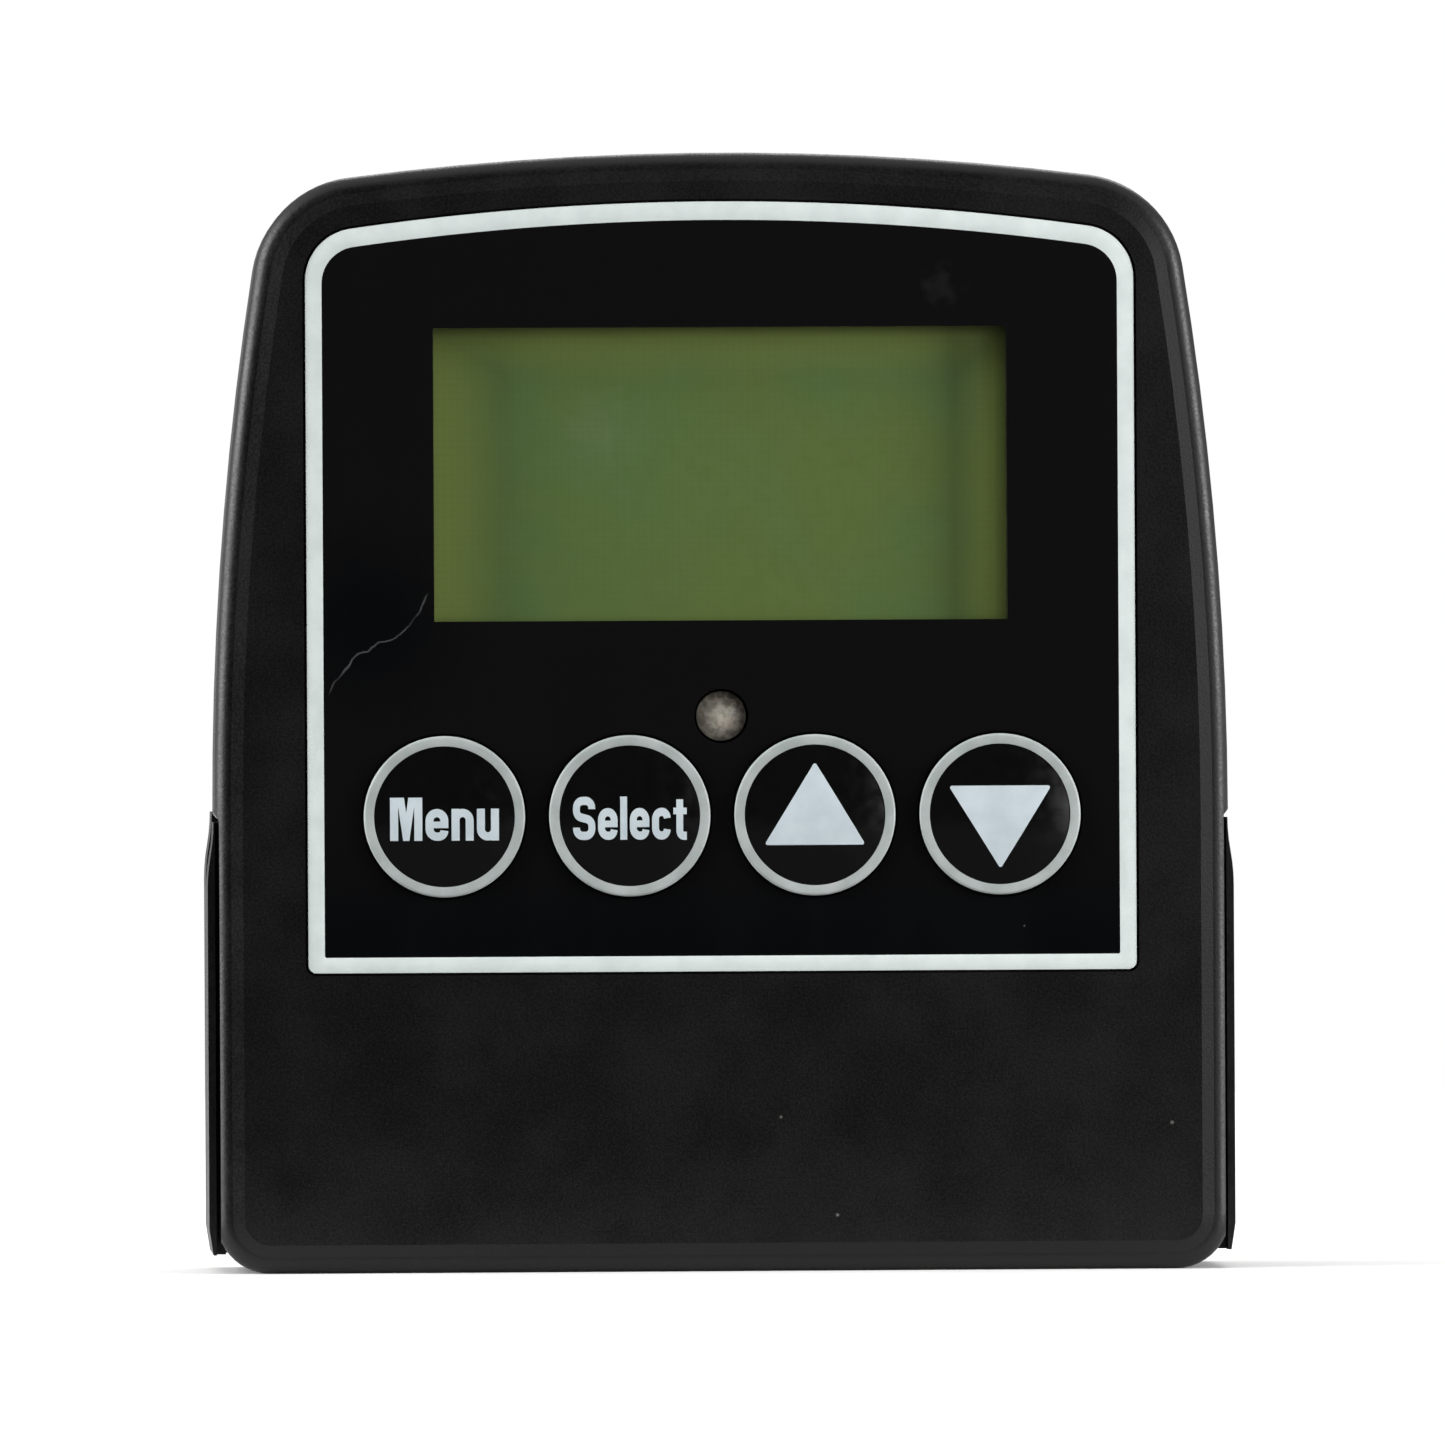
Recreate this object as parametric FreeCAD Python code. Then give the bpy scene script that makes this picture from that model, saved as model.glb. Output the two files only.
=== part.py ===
"""Pager in a belt-clip holster: one STEP file per separate piece, in millimetres.

The pager stands upright. X runs to the right as its front is seen, Z runs up, and the front faces -Y.
While it is drawn, y = 0 is the front cover's face and y grows towards the belt clip. save() then moves
every piece forward by half the depth, so that the origin is at the middle of the base.
"""
import FreeCAD, Part
import math
import os

# ---------------------------------------------------------------- driving dimensions
CASE_HALF_W = 30.8          # half the width of the front cover
CASE_H = 67.9               # height at the crown
SIDE_R = 211.5              # large radius of the upper sides
SIDE_Z = 27.9               # below this height the sides are straight
TOP_R = 178.0               # radius of the crowned top edge
TOP_CORNER_R = 6.6
BASE_CORNER_R = 3.3
WALL = 1.6
EDGE_R = 1.0                # rounding of the front cover's rim
BEVEL_W = 0.73              # shallow bevel between the rounding and the flat face
BEVEL_DEPTH = 0.2
PARTING_Y = 8.6             # back edge of the front cover
PARTING_GAP = 0.2
REAR_INSET = 0.1            # the rear cover is this much smaller all round
TONGUE_INSET = (1.7, 2.3)   # outer and inner face of the rear cover's tongue, which closes the parting gap
TONGUE_REACH = 1.0
CASE_DEPTH = 16.0

PANEL_HALF_W = 25.16        # graphic panel that covers the front
PANEL_Z = (18.19, 64.93)
PANEL_TOP_R = 161.0
PANEL_CORNER_R = 3.2
PANEL_T = 0.5
PANEL_SINK = 0.08           # the panel lies this far below the cover's face
SLIP = 0.14                 # clearance round a piece that drops into a recess

WINDOW_HALF_W = 17.4
WINDOW_Z = (39.5, 57.3)
PANE_T = 1.4

KEY_PITCH = 11.24
KEY_Z = 27.67
KEY_R = 4.88
KEY_NAMES = ("key_menu", "key_select", "key_up", "key_down")
KEY_PROUD = 0.35            # height of a key's rim over the cover's face
KEY_DOME = 0.35             # crown of a key over its rim
KEY_CROWN_R = 4.2
KEY_HOLE_R = 5.05
KEY_FLANGE_R = 5.35
KEY_TRAVEL = 0.4
STEM_R = 1.2
SNAP_R = 2.5                # foot radius of a snap dome
SNAP_RISE = 0.5
SNAP_T = 0.15

LED_Z = 33.7
LED_R = 1.5
LED_HOLE_R = 1.65
LED_FRONT_Y = 0.7           # top of the lamp's low dome
LED_DOME = 0.45

BOARD_Y = 6.8               # front face of the logic board
BOARD_T = 1.0
BOARD_Z0 = 18.6             # lower edge of the logic board
RF_BOARD_Y = 10.6           # front face of the receiver board
RF_BOARD_T = 0.8

SCREWS = ((-25.4, 20.4), (25.4, 20.4), (-25.0, 58.4), (25.0, 58.4))
SCREW_R = 1.0
SCREW_HEAD_R = 1.9
SCREW_HEAD_Y = (13.7, 15.0)
BOSS_R = 2.4

CELL_R = 5.15               # AAA cell, 44.5 mm over its cap
CELL_LENGTH = 44.5
CELL_CAP_R = 1.9
CELL_CAP_T = 0.9
CELL_X0 = -20.8             # negative end
CELL_Y, CELL_Z = 8.5, 10.5
BAY_HALF_W = 25.4           # inside of the battery holder
BAY_Z = (5.0, 16.0)
BAY_Y = (2.9, 13.4)
BAY_WALL = 0.9

DOOR_HALF_W = 24.4
DOOR_Z = (4.6, 17.0)
DOOR_TRAVEL = 3.0
DOOR_T = 1.2
DOOR_GAP = 0.1
TAB_OUT = 0.8
TAB_T = 0.55
TAB_LENGTH = 2.8
TAB_STARTS = (7.0, 13.2)    # lower ends of the door's two tabs on each side

ARM_OUT = 31.2              # outer face of the holster's arms
ARM_Z = (1.1, 28.0)
ARM_SHOULDER = 4.1          # height over which an arm blends away at its head
FRONT_ARM_TOP = 27.4        # beside the front cover the arm ends lower, so no light passes over its head
HEAD_GAP = 0.15             # between that head and the front cover's shoulder over it
ARM_Y0 = 2.2                # front edge of the arms
LIP_BACK_Y = 4.8            # the arm's thin front lip ends here
LIP_ARM_IN = 30.75          # inner face of the thin front lip
SIDE_ARM_IN = 30.15         # inner face of the arm beside the front cover
REAR_ARM_IN = 29.7          # inner face of the arm beside the rear cover
REAR_ARM_Y0 = 9.1
COVER_LIP_HALF_W = 30.5     # half the width of the front cover beside the thin lip
COVER_SIDE_HALF_W = 29.9    # and beside the arm
REAR_LOW_HALF_W = 29.4      # half the width of the rear cover between the arms
HOOK_Y = (9.4, 10.6)        # hooks that run in the rear cover's grooves
HOOK_IN = 28.9
HOLSTER_Y = (16.3, 18.2)    # the holster's back plate
PLATE_Z = (19.0, 56.0)
PLATE_HEAD_HALF_W = 11.4
LEG_IN = 25.9

PIN_R = 1.0
PIN_Y, PIN_Z = 20.9, 53.0
KNUCKLE_R = 2.15
EAR_X = (8.7, 10.9)
CLIP_HALF_W = 10.0
CLIP_T = 1.8
CLIP_Z = (20.6, 63.5)
BELT_GAP = 5.0
CLIP_BACK_Y = HOLSTER_Y[1] + BELT_GAP + CLIP_T
SPRING_WIRE_R = 0.3
SPRING_R = 1.7
SPRING_HALF_W = 2.6

MOTOR_R = 3.0
MOTOR_X = (-21.0, -9.4)
MOTOR_Y, MOTOR_Z = 11.1, 23.0
SHAFT_R = 0.5
SHAFT_BORE_R = 0.55

SOUNDER_X, SOUNDER_Z = 16.0, 52.0
SOUNDER_R = 5.5

FRONT_Y = -(KEY_PROUD + KEY_DOME)
MIDDLE_Y = (FRONT_Y + CLIP_BACK_Y) / 2


# ---------------------------------------------------------------- helpers
def vec(x, y, z):
    return FreeCAD.Vector(x, y, z)


def box(x, y, z):
    """Block between the pairs x, y and z."""
    return Part.makeBox(x[1] - x[0], y[1] - y[0], z[1] - z[0], vec(x[0], y[0], z[0]))


def rod_x(y, z, r, x0, x1):
    return Part.makeCylinder(r, x1 - x0, vec(x0, y, z), vec(1, 0, 0))


def rod_y(x, z, r, y0, y1):
    return Part.makeCylinder(r, y1 - y0, vec(x, y0, z), vec(0, 1, 0))


def rod_z(x, y, r, z0, z1):
    return Part.makeCylinder(r, z1 - z0, vec(x, y, z0))


def join(shapes):
    first, *rest = shapes
    return first.fuse(rest).removeSplitter() if rest else first


def group(shapes):
    """Separate solids that share one node."""
    return Part.makeCompound(shapes)


def mirrored(shape):
    return shape.mirror(vec(0, 0, 0), vec(1, 0, 0))


def edges_where(shape, test):
    return [e for e in shape.Edges if test(e.BoundBox)]


def along_y(b, length):
    """True for the bounding box of a straight edge that runs the given length along Y."""
    return b.XLength < 1e-4 and b.ZLength < 1e-4 and abs(b.YLength - length) < 1e-4


def at_y(b, y):
    """True for the bounding box of an edge that lies in the plane at y."""
    return abs(b.YMin - y) < 1e-4 and abs(b.YMax - y) < 1e-4


def prism_y(points, y0, y1):
    """Straight-sided outline of (x, z) points, from y0 to y1."""
    ring = [vec(x, y0, z) for x, z in points]
    return Part.Face(Part.makePolygon(ring + ring[:1])).extrude(vec(0, y1 - y0, 0))


def prism_x(points, x0, x1):
    """Straight-sided outline of (y, z) points, from x0 to x1."""
    ring = [vec(x0, y, z) for y, z in points]
    return Part.Face(Part.makePolygon(ring + ring[:1])).extrude(vec(x1 - x0, 0, 0))


def rounded_plate(x, y, z, r):
    """Block whose four edges along Y are rounded."""
    plate = box(x, y, z)
    return plate.makeFillet(r, edges_where(plate, lambda b: along_y(b, y[1] - y[0])))


# ---------------------------------------------------------------- outlines of the case and the panel
def top_corner(inset):
    """Where the side arc and the crown arc cross, before the corner is rounded."""
    side_r, top_r = SIDE_R - inset, TOP_R - inset
    side_c = (CASE_HALF_W - SIDE_R, SIDE_Z)
    top_c = (0.0, CASE_H - TOP_R)
    dx, dz = top_c[0] - side_c[0], top_c[1] - side_c[1]
    gap = math.hypot(dx, dz)
    along = (side_r ** 2 - top_r ** 2 + gap ** 2) / (2 * gap)
    off = math.sqrt(side_r ** 2 - along ** 2)
    foot = (side_c[0] + along * dx / gap, side_c[1] + along * dz / gap)
    return foot[0] - off * dz / gap, foot[1] + off * dx / gap


def case_prism(inset, y0, y1, base=None):
    """The case's outline drawn in by inset, from y0 to y1. base is the height of its lower edge."""
    base = inset if base is None else base
    x, z = top_corner(inset)
    half = CASE_HALF_W - inset
    mid_z = (z + SIDE_Z) / 2
    mid_x = CASE_HALF_W - SIDE_R + math.sqrt((SIDE_R - inset) ** 2 - (mid_z - SIDE_Z) ** 2)
    right = Part.Arc(vec(half, y0, SIDE_Z), vec(mid_x, y0, mid_z), vec(x, y0, z)).toShape()
    crown = Part.Arc(vec(x, y0, z), vec(0, y0, CASE_H - inset), vec(-x, y0, z)).toShape()
    left = Part.Arc(vec(-x, y0, z), vec(-mid_x, y0, mid_z), vec(-half, y0, SIDE_Z)).toShape()
    low = [(-half, SIDE_Z), (-half, base), (half, base), (half, SIDE_Z)]
    lines = [Part.makeLine(vec(a[0], y0, a[1]), vec(b[0], y0, b[1])) for a, b in zip(low, low[1:])]
    solid = Part.Face(Part.Wire([right, crown, left] + lines)).extrude(vec(0, y1 - y0, 0))
    head = edges_where(solid, lambda b: along_y(b, y1 - y0) and b.ZMin > CASE_H / 2)
    solid = solid.makeFillet(TOP_CORNER_R - inset, head)
    foot = edges_where(solid, lambda b: along_y(b, y1 - y0) and b.ZMin < base + 1e-3)
    return solid.makeFillet(max(BASE_CORNER_R - inset, 0.4), foot)


def panel_prism(grow, y0, y1):
    """The graphic panel's outline: square at its foot, crowned and rounded at its head."""
    half = PANEL_HALF_W + grow
    base, crown = PANEL_Z[0] - grow, PANEL_Z[1] + grow
    radius = PANEL_TOP_R + grow
    shoulder = crown - radius + math.sqrt(radius ** 2 - half ** 2)
    arc = Part.Arc(vec(half, y0, shoulder), vec(0, y0, crown), vec(-half, y0, shoulder)).toShape()
    low = [(-half, shoulder), (-half, base), (half, base), (half, shoulder)]
    lines = [Part.makeLine(vec(a[0], y0, a[1]), vec(b[0], y0, b[1])) for a, b in zip(low, low[1:])]
    solid = Part.Face(Part.Wire([arc] + lines)).extrude(vec(0, y1 - y0, 0))
    head = edges_where(solid, lambda b: along_y(b, y1 - y0) and b.ZMin > CASE_H / 2)
    solid = solid.makeFillet(PANEL_CORNER_R + grow, head)
    foot = edges_where(solid, lambda b: along_y(b, y1 - y0) and b.ZMin < base + 1e-3)
    return solid.makeFillet(0.5 + grow, foot)


def key_xs():
    return [(i - 1.5) * KEY_PITCH for i in range(len(KEY_NAMES))]


def dome_ball(x, z, r, rise, y0):
    """Ball whose cap, of radius r at its foot, rises from y0 + rise to y0."""
    ball_r = (r ** 2 + rise ** 2) / (2 * rise)
    return Part.makeSphere(ball_r, vec(x, y0 + ball_r, z))


# ---------------------------------------------------------------- housing
def face_outline(inset, y):
    """The case's outline drawn in by inset, as a wire in the plane at y."""
    solid = case_prism(inset, y, y + 1)
    return next(f.OuterWire for f in solid.Faces if at_y(f.BoundBox, y))


def arm_room():
    """Space beside the front cover's right flank for the holster's arm."""
    z1 = FRONT_ARM_TOP + HEAD_GAP
    slope = 0.6
    lip = prism_y([(COVER_LIP_HALF_W, -1), (33, -1), (33, z1 + slope), (COVER_LIP_HALF_W + 0.5, z1 + slope),
                   (COVER_LIP_HALF_W, z1)], -1.0, CASE_DEPTH)
    side = box((COVER_SIDE_HALF_W, 33), (LIP_BACK_Y - 0.3, CASE_DEPTH), (-1.0, z1))
    return lip.fuse(side)


def front_cover():
    shell = case_prism(0.0, BEVEL_DEPTH, PARTING_Y, base=0.0)
    shell = shell.makeFillet(EDGE_R, edges_where(shell, lambda b: at_y(b, BEVEL_DEPTH)))
    rims = [face_outline(EDGE_R, BEVEL_DEPTH), face_outline(EDGE_R + BEVEL_W, 0.0)]
    shell = join([shell, Part.makeLoft(rims, True, True)])
    shell = shell.cut([arm_room(), mirrored(arm_room())])
    face_t = WALL + 0.1
    shell = shell.cut(case_prism(WALL, face_t, PARTING_Y + 1))
    bosses = [rod_y(x, z, BOSS_R, face_t - 0.2, PARTING_Y) for x, z in SCREWS]
    shell = join([shell] + bosses)
    cuts = [panel_prism(SLIP, -1.0, PANEL_SINK + PANEL_T)]
    cuts.append(box((-WINDOW_HALF_W, WINDOW_HALF_W), (-1.0, 3.0), WINDOW_Z))
    cuts.append(rod_y(0.0, LED_Z, LED_HOLE_R, -1.0, 3.0))
    cuts += [rod_y(x, KEY_Z, KEY_HOLE_R, -1.0, 3.0) for x in key_xs()]
    cuts += [rod_y(x, z, SCREW_R, face_t + 1.5, PARTING_Y + 1) for x, z in SCREWS]
    return shell.cut(cuts)


def panel_overlay():
    panel = panel_prism(0.0, PANEL_SINK, PANEL_SINK + PANEL_T)
    cuts = [box((-WINDOW_HALF_W, WINDOW_HALF_W), (-1.0, 3.0), WINDOW_Z)]
    cuts.append(rod_y(0.0, LED_Z, LED_HOLE_R, -1.0, 3.0))
    cuts += [rod_y(x, KEY_Z, KEY_HOLE_R, -1.0, 3.0) for x in key_xs()]
    return panel.cut(cuts)


def display_window():
    gap = 0.04
    return box((-WINDOW_HALF_W + gap, WINDOW_HALF_W - gap), (PANEL_SINK, PANEL_SINK + PANE_T),
               (WINDOW_Z[0] + gap, WINDOW_Z[1] - gap))


def door_recess():
    """Space that the battery door lies and slides in, with the slots for its tabs."""
    y0, y1 = CASE_DEPTH - DOOR_T - DOOR_GAP, CASE_DEPTH + 1
    half = DOOR_HALF_W + 0.2
    z0, z1 = DOOR_Z[0] - DOOR_TRAVEL - 0.2, DOOR_Z[1] + 0.2
    pieces = [box((-half, half), (y0, y1), (z0, z1))]
    slot_out = DOOR_HALF_W + TAB_OUT + 0.2
    for side in (-1, 1):
        x = sorted((side * (half - 0.5), side * slot_out))
        top = TAB_STARTS[-1] + TAB_LENGTH + 0.2
        pieces.append(box(x, (y0, y0 + TAB_T + 0.25), (TAB_STARTS[0] - DOOR_TRAVEL - 0.2, top)))
        for start in TAB_STARTS:
            low = start - DOOR_TRAVEL - 0.2
            pieces.append(box(x, (y0, y1), (low, low + TAB_LENGTH + 0.4)))
    return pieces


def tongue():
    """Thin wall along the rear cover's rim that reaches into the front cover, open round its bosses."""
    outer, inner = TONGUE_INSET
    y0, y1 = PARTING_Y - TONGUE_REACH, PARTING_Y + PARTING_GAP
    wall = case_prism(outer, y0, y1).cut(case_prism(inner, y0 - 1, y1 + 1))
    wall = wall.cut([rod_y(x, z, BOSS_R + 0.15, y0 - 1, y1) for x, z in SCREWS])
    root = case_prism(REAR_INSET + WALL - 0.2, y1, y1 + 1.5).cut(case_prism(inner, y1 - 1, y1 + 2))
    return wall.fuse(root)


def rear_cover():
    y0 = PARTING_Y + PARTING_GAP
    shell = case_prism(REAR_INSET, y0, CASE_DEPTH, base=0.0)
    room = box((REAR_LOW_HALF_W, ARM_OUT + 1), (y0 - 1, CASE_DEPTH + 1), (-1.0, ARM_Z[1] + 0.3))
    shell = shell.cut([room, mirrored(room)])
    shell = shell.makeFillet(1.2, edges_where(shell, lambda b: at_y(b, CASE_DEPTH)))
    hollow = case_prism(REAR_INSET + WALL, y0 - 1, CASE_DEPTH - WALL, base=WALL)
    waist = REAR_LOW_HALF_W - WALL
    slab = box((-waist, waist), (y0 - 1, CASE_DEPTH), (0.0, ARM_Z[1] + 0.3 + WALL))
    above = box((-CASE_HALF_W, CASE_HALF_W), (y0 - 1, CASE_DEPTH), (ARM_Z[1] + 0.3 + WALL, CASE_H))
    hollow = hollow.common(slab.fuse(above))
    shell = shell.cut(hollow)
    door_wall = box((-BAY_HALF_W - 2.2, BAY_HALF_W + 2.2), (BAY_Y[1], CASE_DEPTH - 0.6), (0.8, 18.4))
    posts = [rod_y(x, z, BOSS_R + 0.7, PARTING_Y, CASE_DEPTH - 0.5) for x, z in SCREWS]
    shell = join([shell, tongue(), door_wall] + posts)
    cuts = door_recess()
    cuts.append(box((-23.9, 23.9), (BAY_Y[1] - 1, CASE_DEPTH), BAY_Z))
    for x, z in SCREWS:
        cuts.append(rod_y(x, z, SCREW_R + 0.15, y0 - 1, CASE_DEPTH))
        cuts.append(rod_y(x, z, SCREW_HEAD_R + 0.2, SCREW_HEAD_Y[0], CASE_DEPTH + 1))
    for side in (-1, 1):
        x = sorted((side * (REAR_LOW_HALF_W - 0.8), side * (REAR_LOW_HALF_W + 1)))
        cuts.append(box(x, (HOOK_Y[0] - 0.3, HOOK_Y[1] + 0.3), (-1.0, ARM_Z[1] + 0.3)))
    for i in range(5):
        z = SOUNDER_Z + (i - 2) * 1.7
        reach = 3.9 if abs(i - 2) < 2 else 2.6
        cuts.append(box((SOUNDER_X - reach, SOUNDER_X + reach), (13.0, CASE_DEPTH + 1), (z - 0.4, z + 0.4)))
    return shell.cut(cuts)


def case_screws():
    screws = []
    for x, z in SCREWS:
        head = rod_y(x, z, SCREW_HEAD_R, *SCREW_HEAD_Y)
        head = head.makeFillet(0.5, edges_where(head, lambda b: at_y(b, SCREW_HEAD_Y[1])))
        shank = rod_y(x, z, SCREW_R, 3.6, SCREW_HEAD_Y[0])
        slots = [box((x - a, x + a), (SCREW_HEAD_Y[1] - 0.7, SCREW_HEAD_Y[1] + 1), (z - b, z + b))
                 for a, b in ((1.1, 0.2), (0.2, 1.1))]
        screws.append(join([head, shank]).cut(slots))
    return group(screws)


# ---------------------------------------------------------------- keys, display and status light
def key_cap(x):
    """Round key with a crowned face, a retaining flange and a stem that reaches for its snap dome."""
    rim_y = -KEY_PROUD
    cap = rod_y(x, KEY_Z, KEY_R, rim_y, 2.1)
    cap = cap.makeFillet(0.15, edges_where(cap, lambda b: at_y(b, rim_y)))
    ball = dome_ball(x, KEY_Z, KEY_CROWN_R, KEY_DOME, rim_y - KEY_DOME)
    crown = ball.common(rod_y(x, KEY_Z, KEY_CROWN_R + 0.3, rim_y - KEY_DOME - 0.1, rim_y + 0.3))
    flange = rod_y(x, KEY_Z, KEY_FLANGE_R, 1.85, 2.7)
    stem = rod_y(x, KEY_Z, STEM_R, 2.5, BOARD_Y - SNAP_RISE - KEY_TRAVEL - 0.1)
    return join([cap, crown, flange, stem])


def keypad_mat():
    """Silicone block on the board, with a chamber over each snap dome."""
    mat = rounded_plate((-23.0, 23.0), (3.35, BOARD_Y), (KEY_Z - 4.0, KEY_Z + 4.0), 1.5)
    cuts = []
    for x in key_xs():
        cuts.append(rod_y(x, KEY_Z, STEM_R + 0.3, 3.0, 5.0))
        cuts.append(rod_y(x, KEY_Z, 3.3, 4.15, BOARD_Y + 1))
    return mat.cut(cuts)


def snap_domes():
    domes = []
    for x in key_xs():
        outer = dome_ball(x, KEY_Z, SNAP_R, SNAP_RISE, BOARD_Y - SNAP_RISE)
        inner = outer.translated(vec(0, SNAP_T, 0))
        slab = rod_y(x, KEY_Z, 4.0, BOARD_Y - 1.0, BOARD_Y)
        domes.append(outer.common(slab).cut(inner))
    return group(domes)


def lcd_glass():
    """Two bonded sheets: the rear one carries the contact ledge along its foot."""
    rear = box((-21.0, 21.0), (3.2, 4.1), (36.9, 60.0))
    front = box((-21.0, 21.0), (2.3, 3.2), (38.9, 60.0))
    return join([rear, front])


def lcd_frame():
    ring = box((-22.4, 22.4), (1.9, BOARD_Y), (35.8, 61.2)).cut(
        box((-21.1, 21.1), (2.2, BOARD_Y + 1), (36.8, 60.1)))
    ring = ring.cut(box((-19.2, 19.2), (1.0, 3.0), (38.7, 58.6)))
    return ring


def backlight_guide():
    guide = box((-19.0, 19.0), (4.2, 6.2), (39.4, 59.9))
    return guide.makeChamfer(0.4, edges_where(guide, lambda b: at_y(b, 6.2)))


def backlight_leds():
    return group([box((s * 20.0 - 0.7, s * 20.0 + 0.7), (5.2, BOARD_Y), (z - 1.0, z + 1.0))
                  for s in (-1, 1) for z in (44.5, 53.0)])


def zebra_strip():
    """Conductive rubber strip between the glass ledge and the board."""
    strips = []
    for i in range(3):
        strips.append(box((-20.0, 20.0), (4.1, BOARD_Y), (37.0 + 0.6 * i, 37.6 + 0.6 * i)))
    return group(strips)


def status_led():
    """Lamp with a low dome, and a flanged foot with the flat that marks its polarity."""
    barrel = rod_y(0, LED_Z, LED_R, LED_FRONT_Y, 4.9)
    barrel = barrel.common(dome_ball(0, LED_Z, LED_R, LED_DOME, LED_FRONT_Y).fuse(
        rod_y(0, LED_Z, LED_R + 1, LED_FRONT_Y + LED_DOME, 5.0)))
    foot = rod_y(0, LED_Z, 1.9, 4.6, 5.4).cut(box((1.5, 3.0), (4.0, 6.0), (LED_Z - 3, LED_Z + 3)))
    return join([barrel, foot])


def led_leads():
    return group([box((s * 0.9 - 0.22, s * 0.9 + 0.22), (5.4, BOARD_Y + BOARD_T + 0.8),
                      (LED_Z - 0.22, LED_Z + 0.22)) for s in (-1, 1)])


# ---------------------------------------------------------------- electronics
def chip(x, z, size, y0, t, pins, reach=0.7):
    """Flat chip body with a row of legs on both upright sides; y0 is the board face it sits on."""
    w, h = size
    body = box((x - w / 2, x + w / 2), (y0 + 0.15, y0 + t), (z - h / 2, z + h / 2))
    legs = []
    pitch = h / (pins + 0.5)
    for side in (-1, 1):
        edge = x + side * w / 2
        for i in range(pins):
            zc = z + (i - (pins - 1) / 2) * pitch
            span = sorted((edge, edge + side * reach))
            legs.append(box(span, (y0, y0 + 0.35), (zc - pitch / 4, zc + pitch / 4)))
    return group([body] + legs)


def logic_board():
    board = case_prism(WALL + 0.8, BOARD_Y, BOARD_Y + BOARD_T)
    board = board.common(box((-27.2, 27.2), (0, CASE_DEPTH), (BOARD_Z0, CASE_H)))
    cuts = [rod_y(x, z, BOSS_R + 0.25, 0, CASE_DEPTH) for x, z in SCREWS]
    cuts += [rod_y(s * 0.9, LED_Z, 0.45, 0, CASE_DEPTH) for s in (-1, 1)]
    return board.cut(cuts)


def microcontroller():
    return chip(10.5, 38.5, (10.0, 10.0), BOARD_Y + BOARD_T, 1.6, 11)


def decoder_chip():
    return chip(18.5, 27.5, (5.3, 8.0), BOARD_Y + BOARD_T, 1.7, 8)


def memory_chip():
    return chip(-1.0, 26.5, (4.0, 5.0), BOARD_Y + BOARD_T, 1.5, 4)


def quartz_crystal():
    """Watch crystal: a small can that lies on the board."""
    y = BOARD_Y + BOARD_T + 1.0
    can = rod_z(3.2, y, 1.0, 30.6, 36.6)
    return can.makeFillet(0.3, edges_where(can, lambda b: b.ZLength < 1e-4 and b.ZMin > 36))


def board_connector():
    """Two-row header and socket that join the boards."""
    y0, y1 = BOARD_Y + BOARD_T, RF_BOARD_Y
    body = box((-22.0, -6.0), (y0, y1), (34.2, 37.4))
    notch = [box((-22.0 + 1.27 * i + 0.8, -22.0 + 1.27 * i + 1.3), (y0 + 0.8, y1 - 0.8), (34.0, 34.6))
             for i in range(12)]
    return body.cut(notch)


def receiver_board():
    board = case_prism(WALL + 1.9, RF_BOARD_Y, RF_BOARD_Y + RF_BOARD_T)
    board = board.common(box((-24.6, 5.4), (0, CASE_DEPTH), (33.0, 62.6)))
    return board.cut([rod_y(x, z, BOSS_R + 1.0, 0, CASE_DEPTH) for x, z in SCREWS])


def rf_shield():
    """Folded tin lid over the receiver's front end, with a row of vent holes."""
    y0, y1 = RF_BOARD_Y + RF_BOARD_T, RF_BOARD_Y + RF_BOARD_T + 2.6
    can = box((-23.0, -7.5), (y0, y1), (37.5, 54.9))
    can = can.makeFillet(0.4, edges_where(can, lambda b: at_y(b, y1)))
    can = can.cut(box((-22.7, -7.8), (y0 - 1, y1 - 0.3), (37.8, 54.6)))
    return can.cut([rod_y(-20.0 + 3.2 * i, 46.2, 0.7, y1 - 1, y1 + 1) for i in range(4)])


def receiver_chip():
    return chip(0.5, 51.5, (5.4, 7.2), RF_BOARD_Y + RF_BOARD_T, 1.6, 7)


def channel_crystal():
    y0 = RF_BOARD_Y + RF_BOARD_T
    can = rounded_plate((-3.5, 4.5), (y0 + 0.3, y0 + 2.2), (40.0, 43.4), 1.6)
    base = rounded_plate((-4.0, 5.0), (y0, y0 + 0.4), (39.5, 43.9), 1.8)
    return join([can, base])


def trimmer():
    """Slotted tuning screw in a small square body."""
    y0 = RF_BOARD_Y + RF_BOARD_T
    body = box((-4.6, -0.9), (y0, y0 + 1.4), (34.6, 38.3))
    knob = rod_y(-2.75, 36.45, 1.4, y0 + 1.4, y0 + 2.0)
    return join([body, knob]).cut(box((-4.0, -1.5), (y0 + 1.6, y0 + 3), (36.25, 36.65)))


def chip_parts():
    """Small two-ended parts soldered on both boards."""
    parts = []
    for i in range(6):
        z = 46.5 + 2.2 * i
        parts.append(box((8.6, 10.6), (BOARD_Y + BOARD_T, BOARD_Y + BOARD_T + 0.7), (z, z + 1.2)))
        parts.append(box((3.0, 5.0), (BOARD_Y + BOARD_T, BOARD_Y + BOARD_T + 0.6), (z, z + 1.2)))
    for i in range(5):
        x = -6.6 + 2.4 * i
        y0 = RF_BOARD_Y + RF_BOARD_T
        parts.append(box((x, x + 1.2), (y0, y0 + 0.7), (58.6, 60.6)))
    return group(parts)


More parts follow.
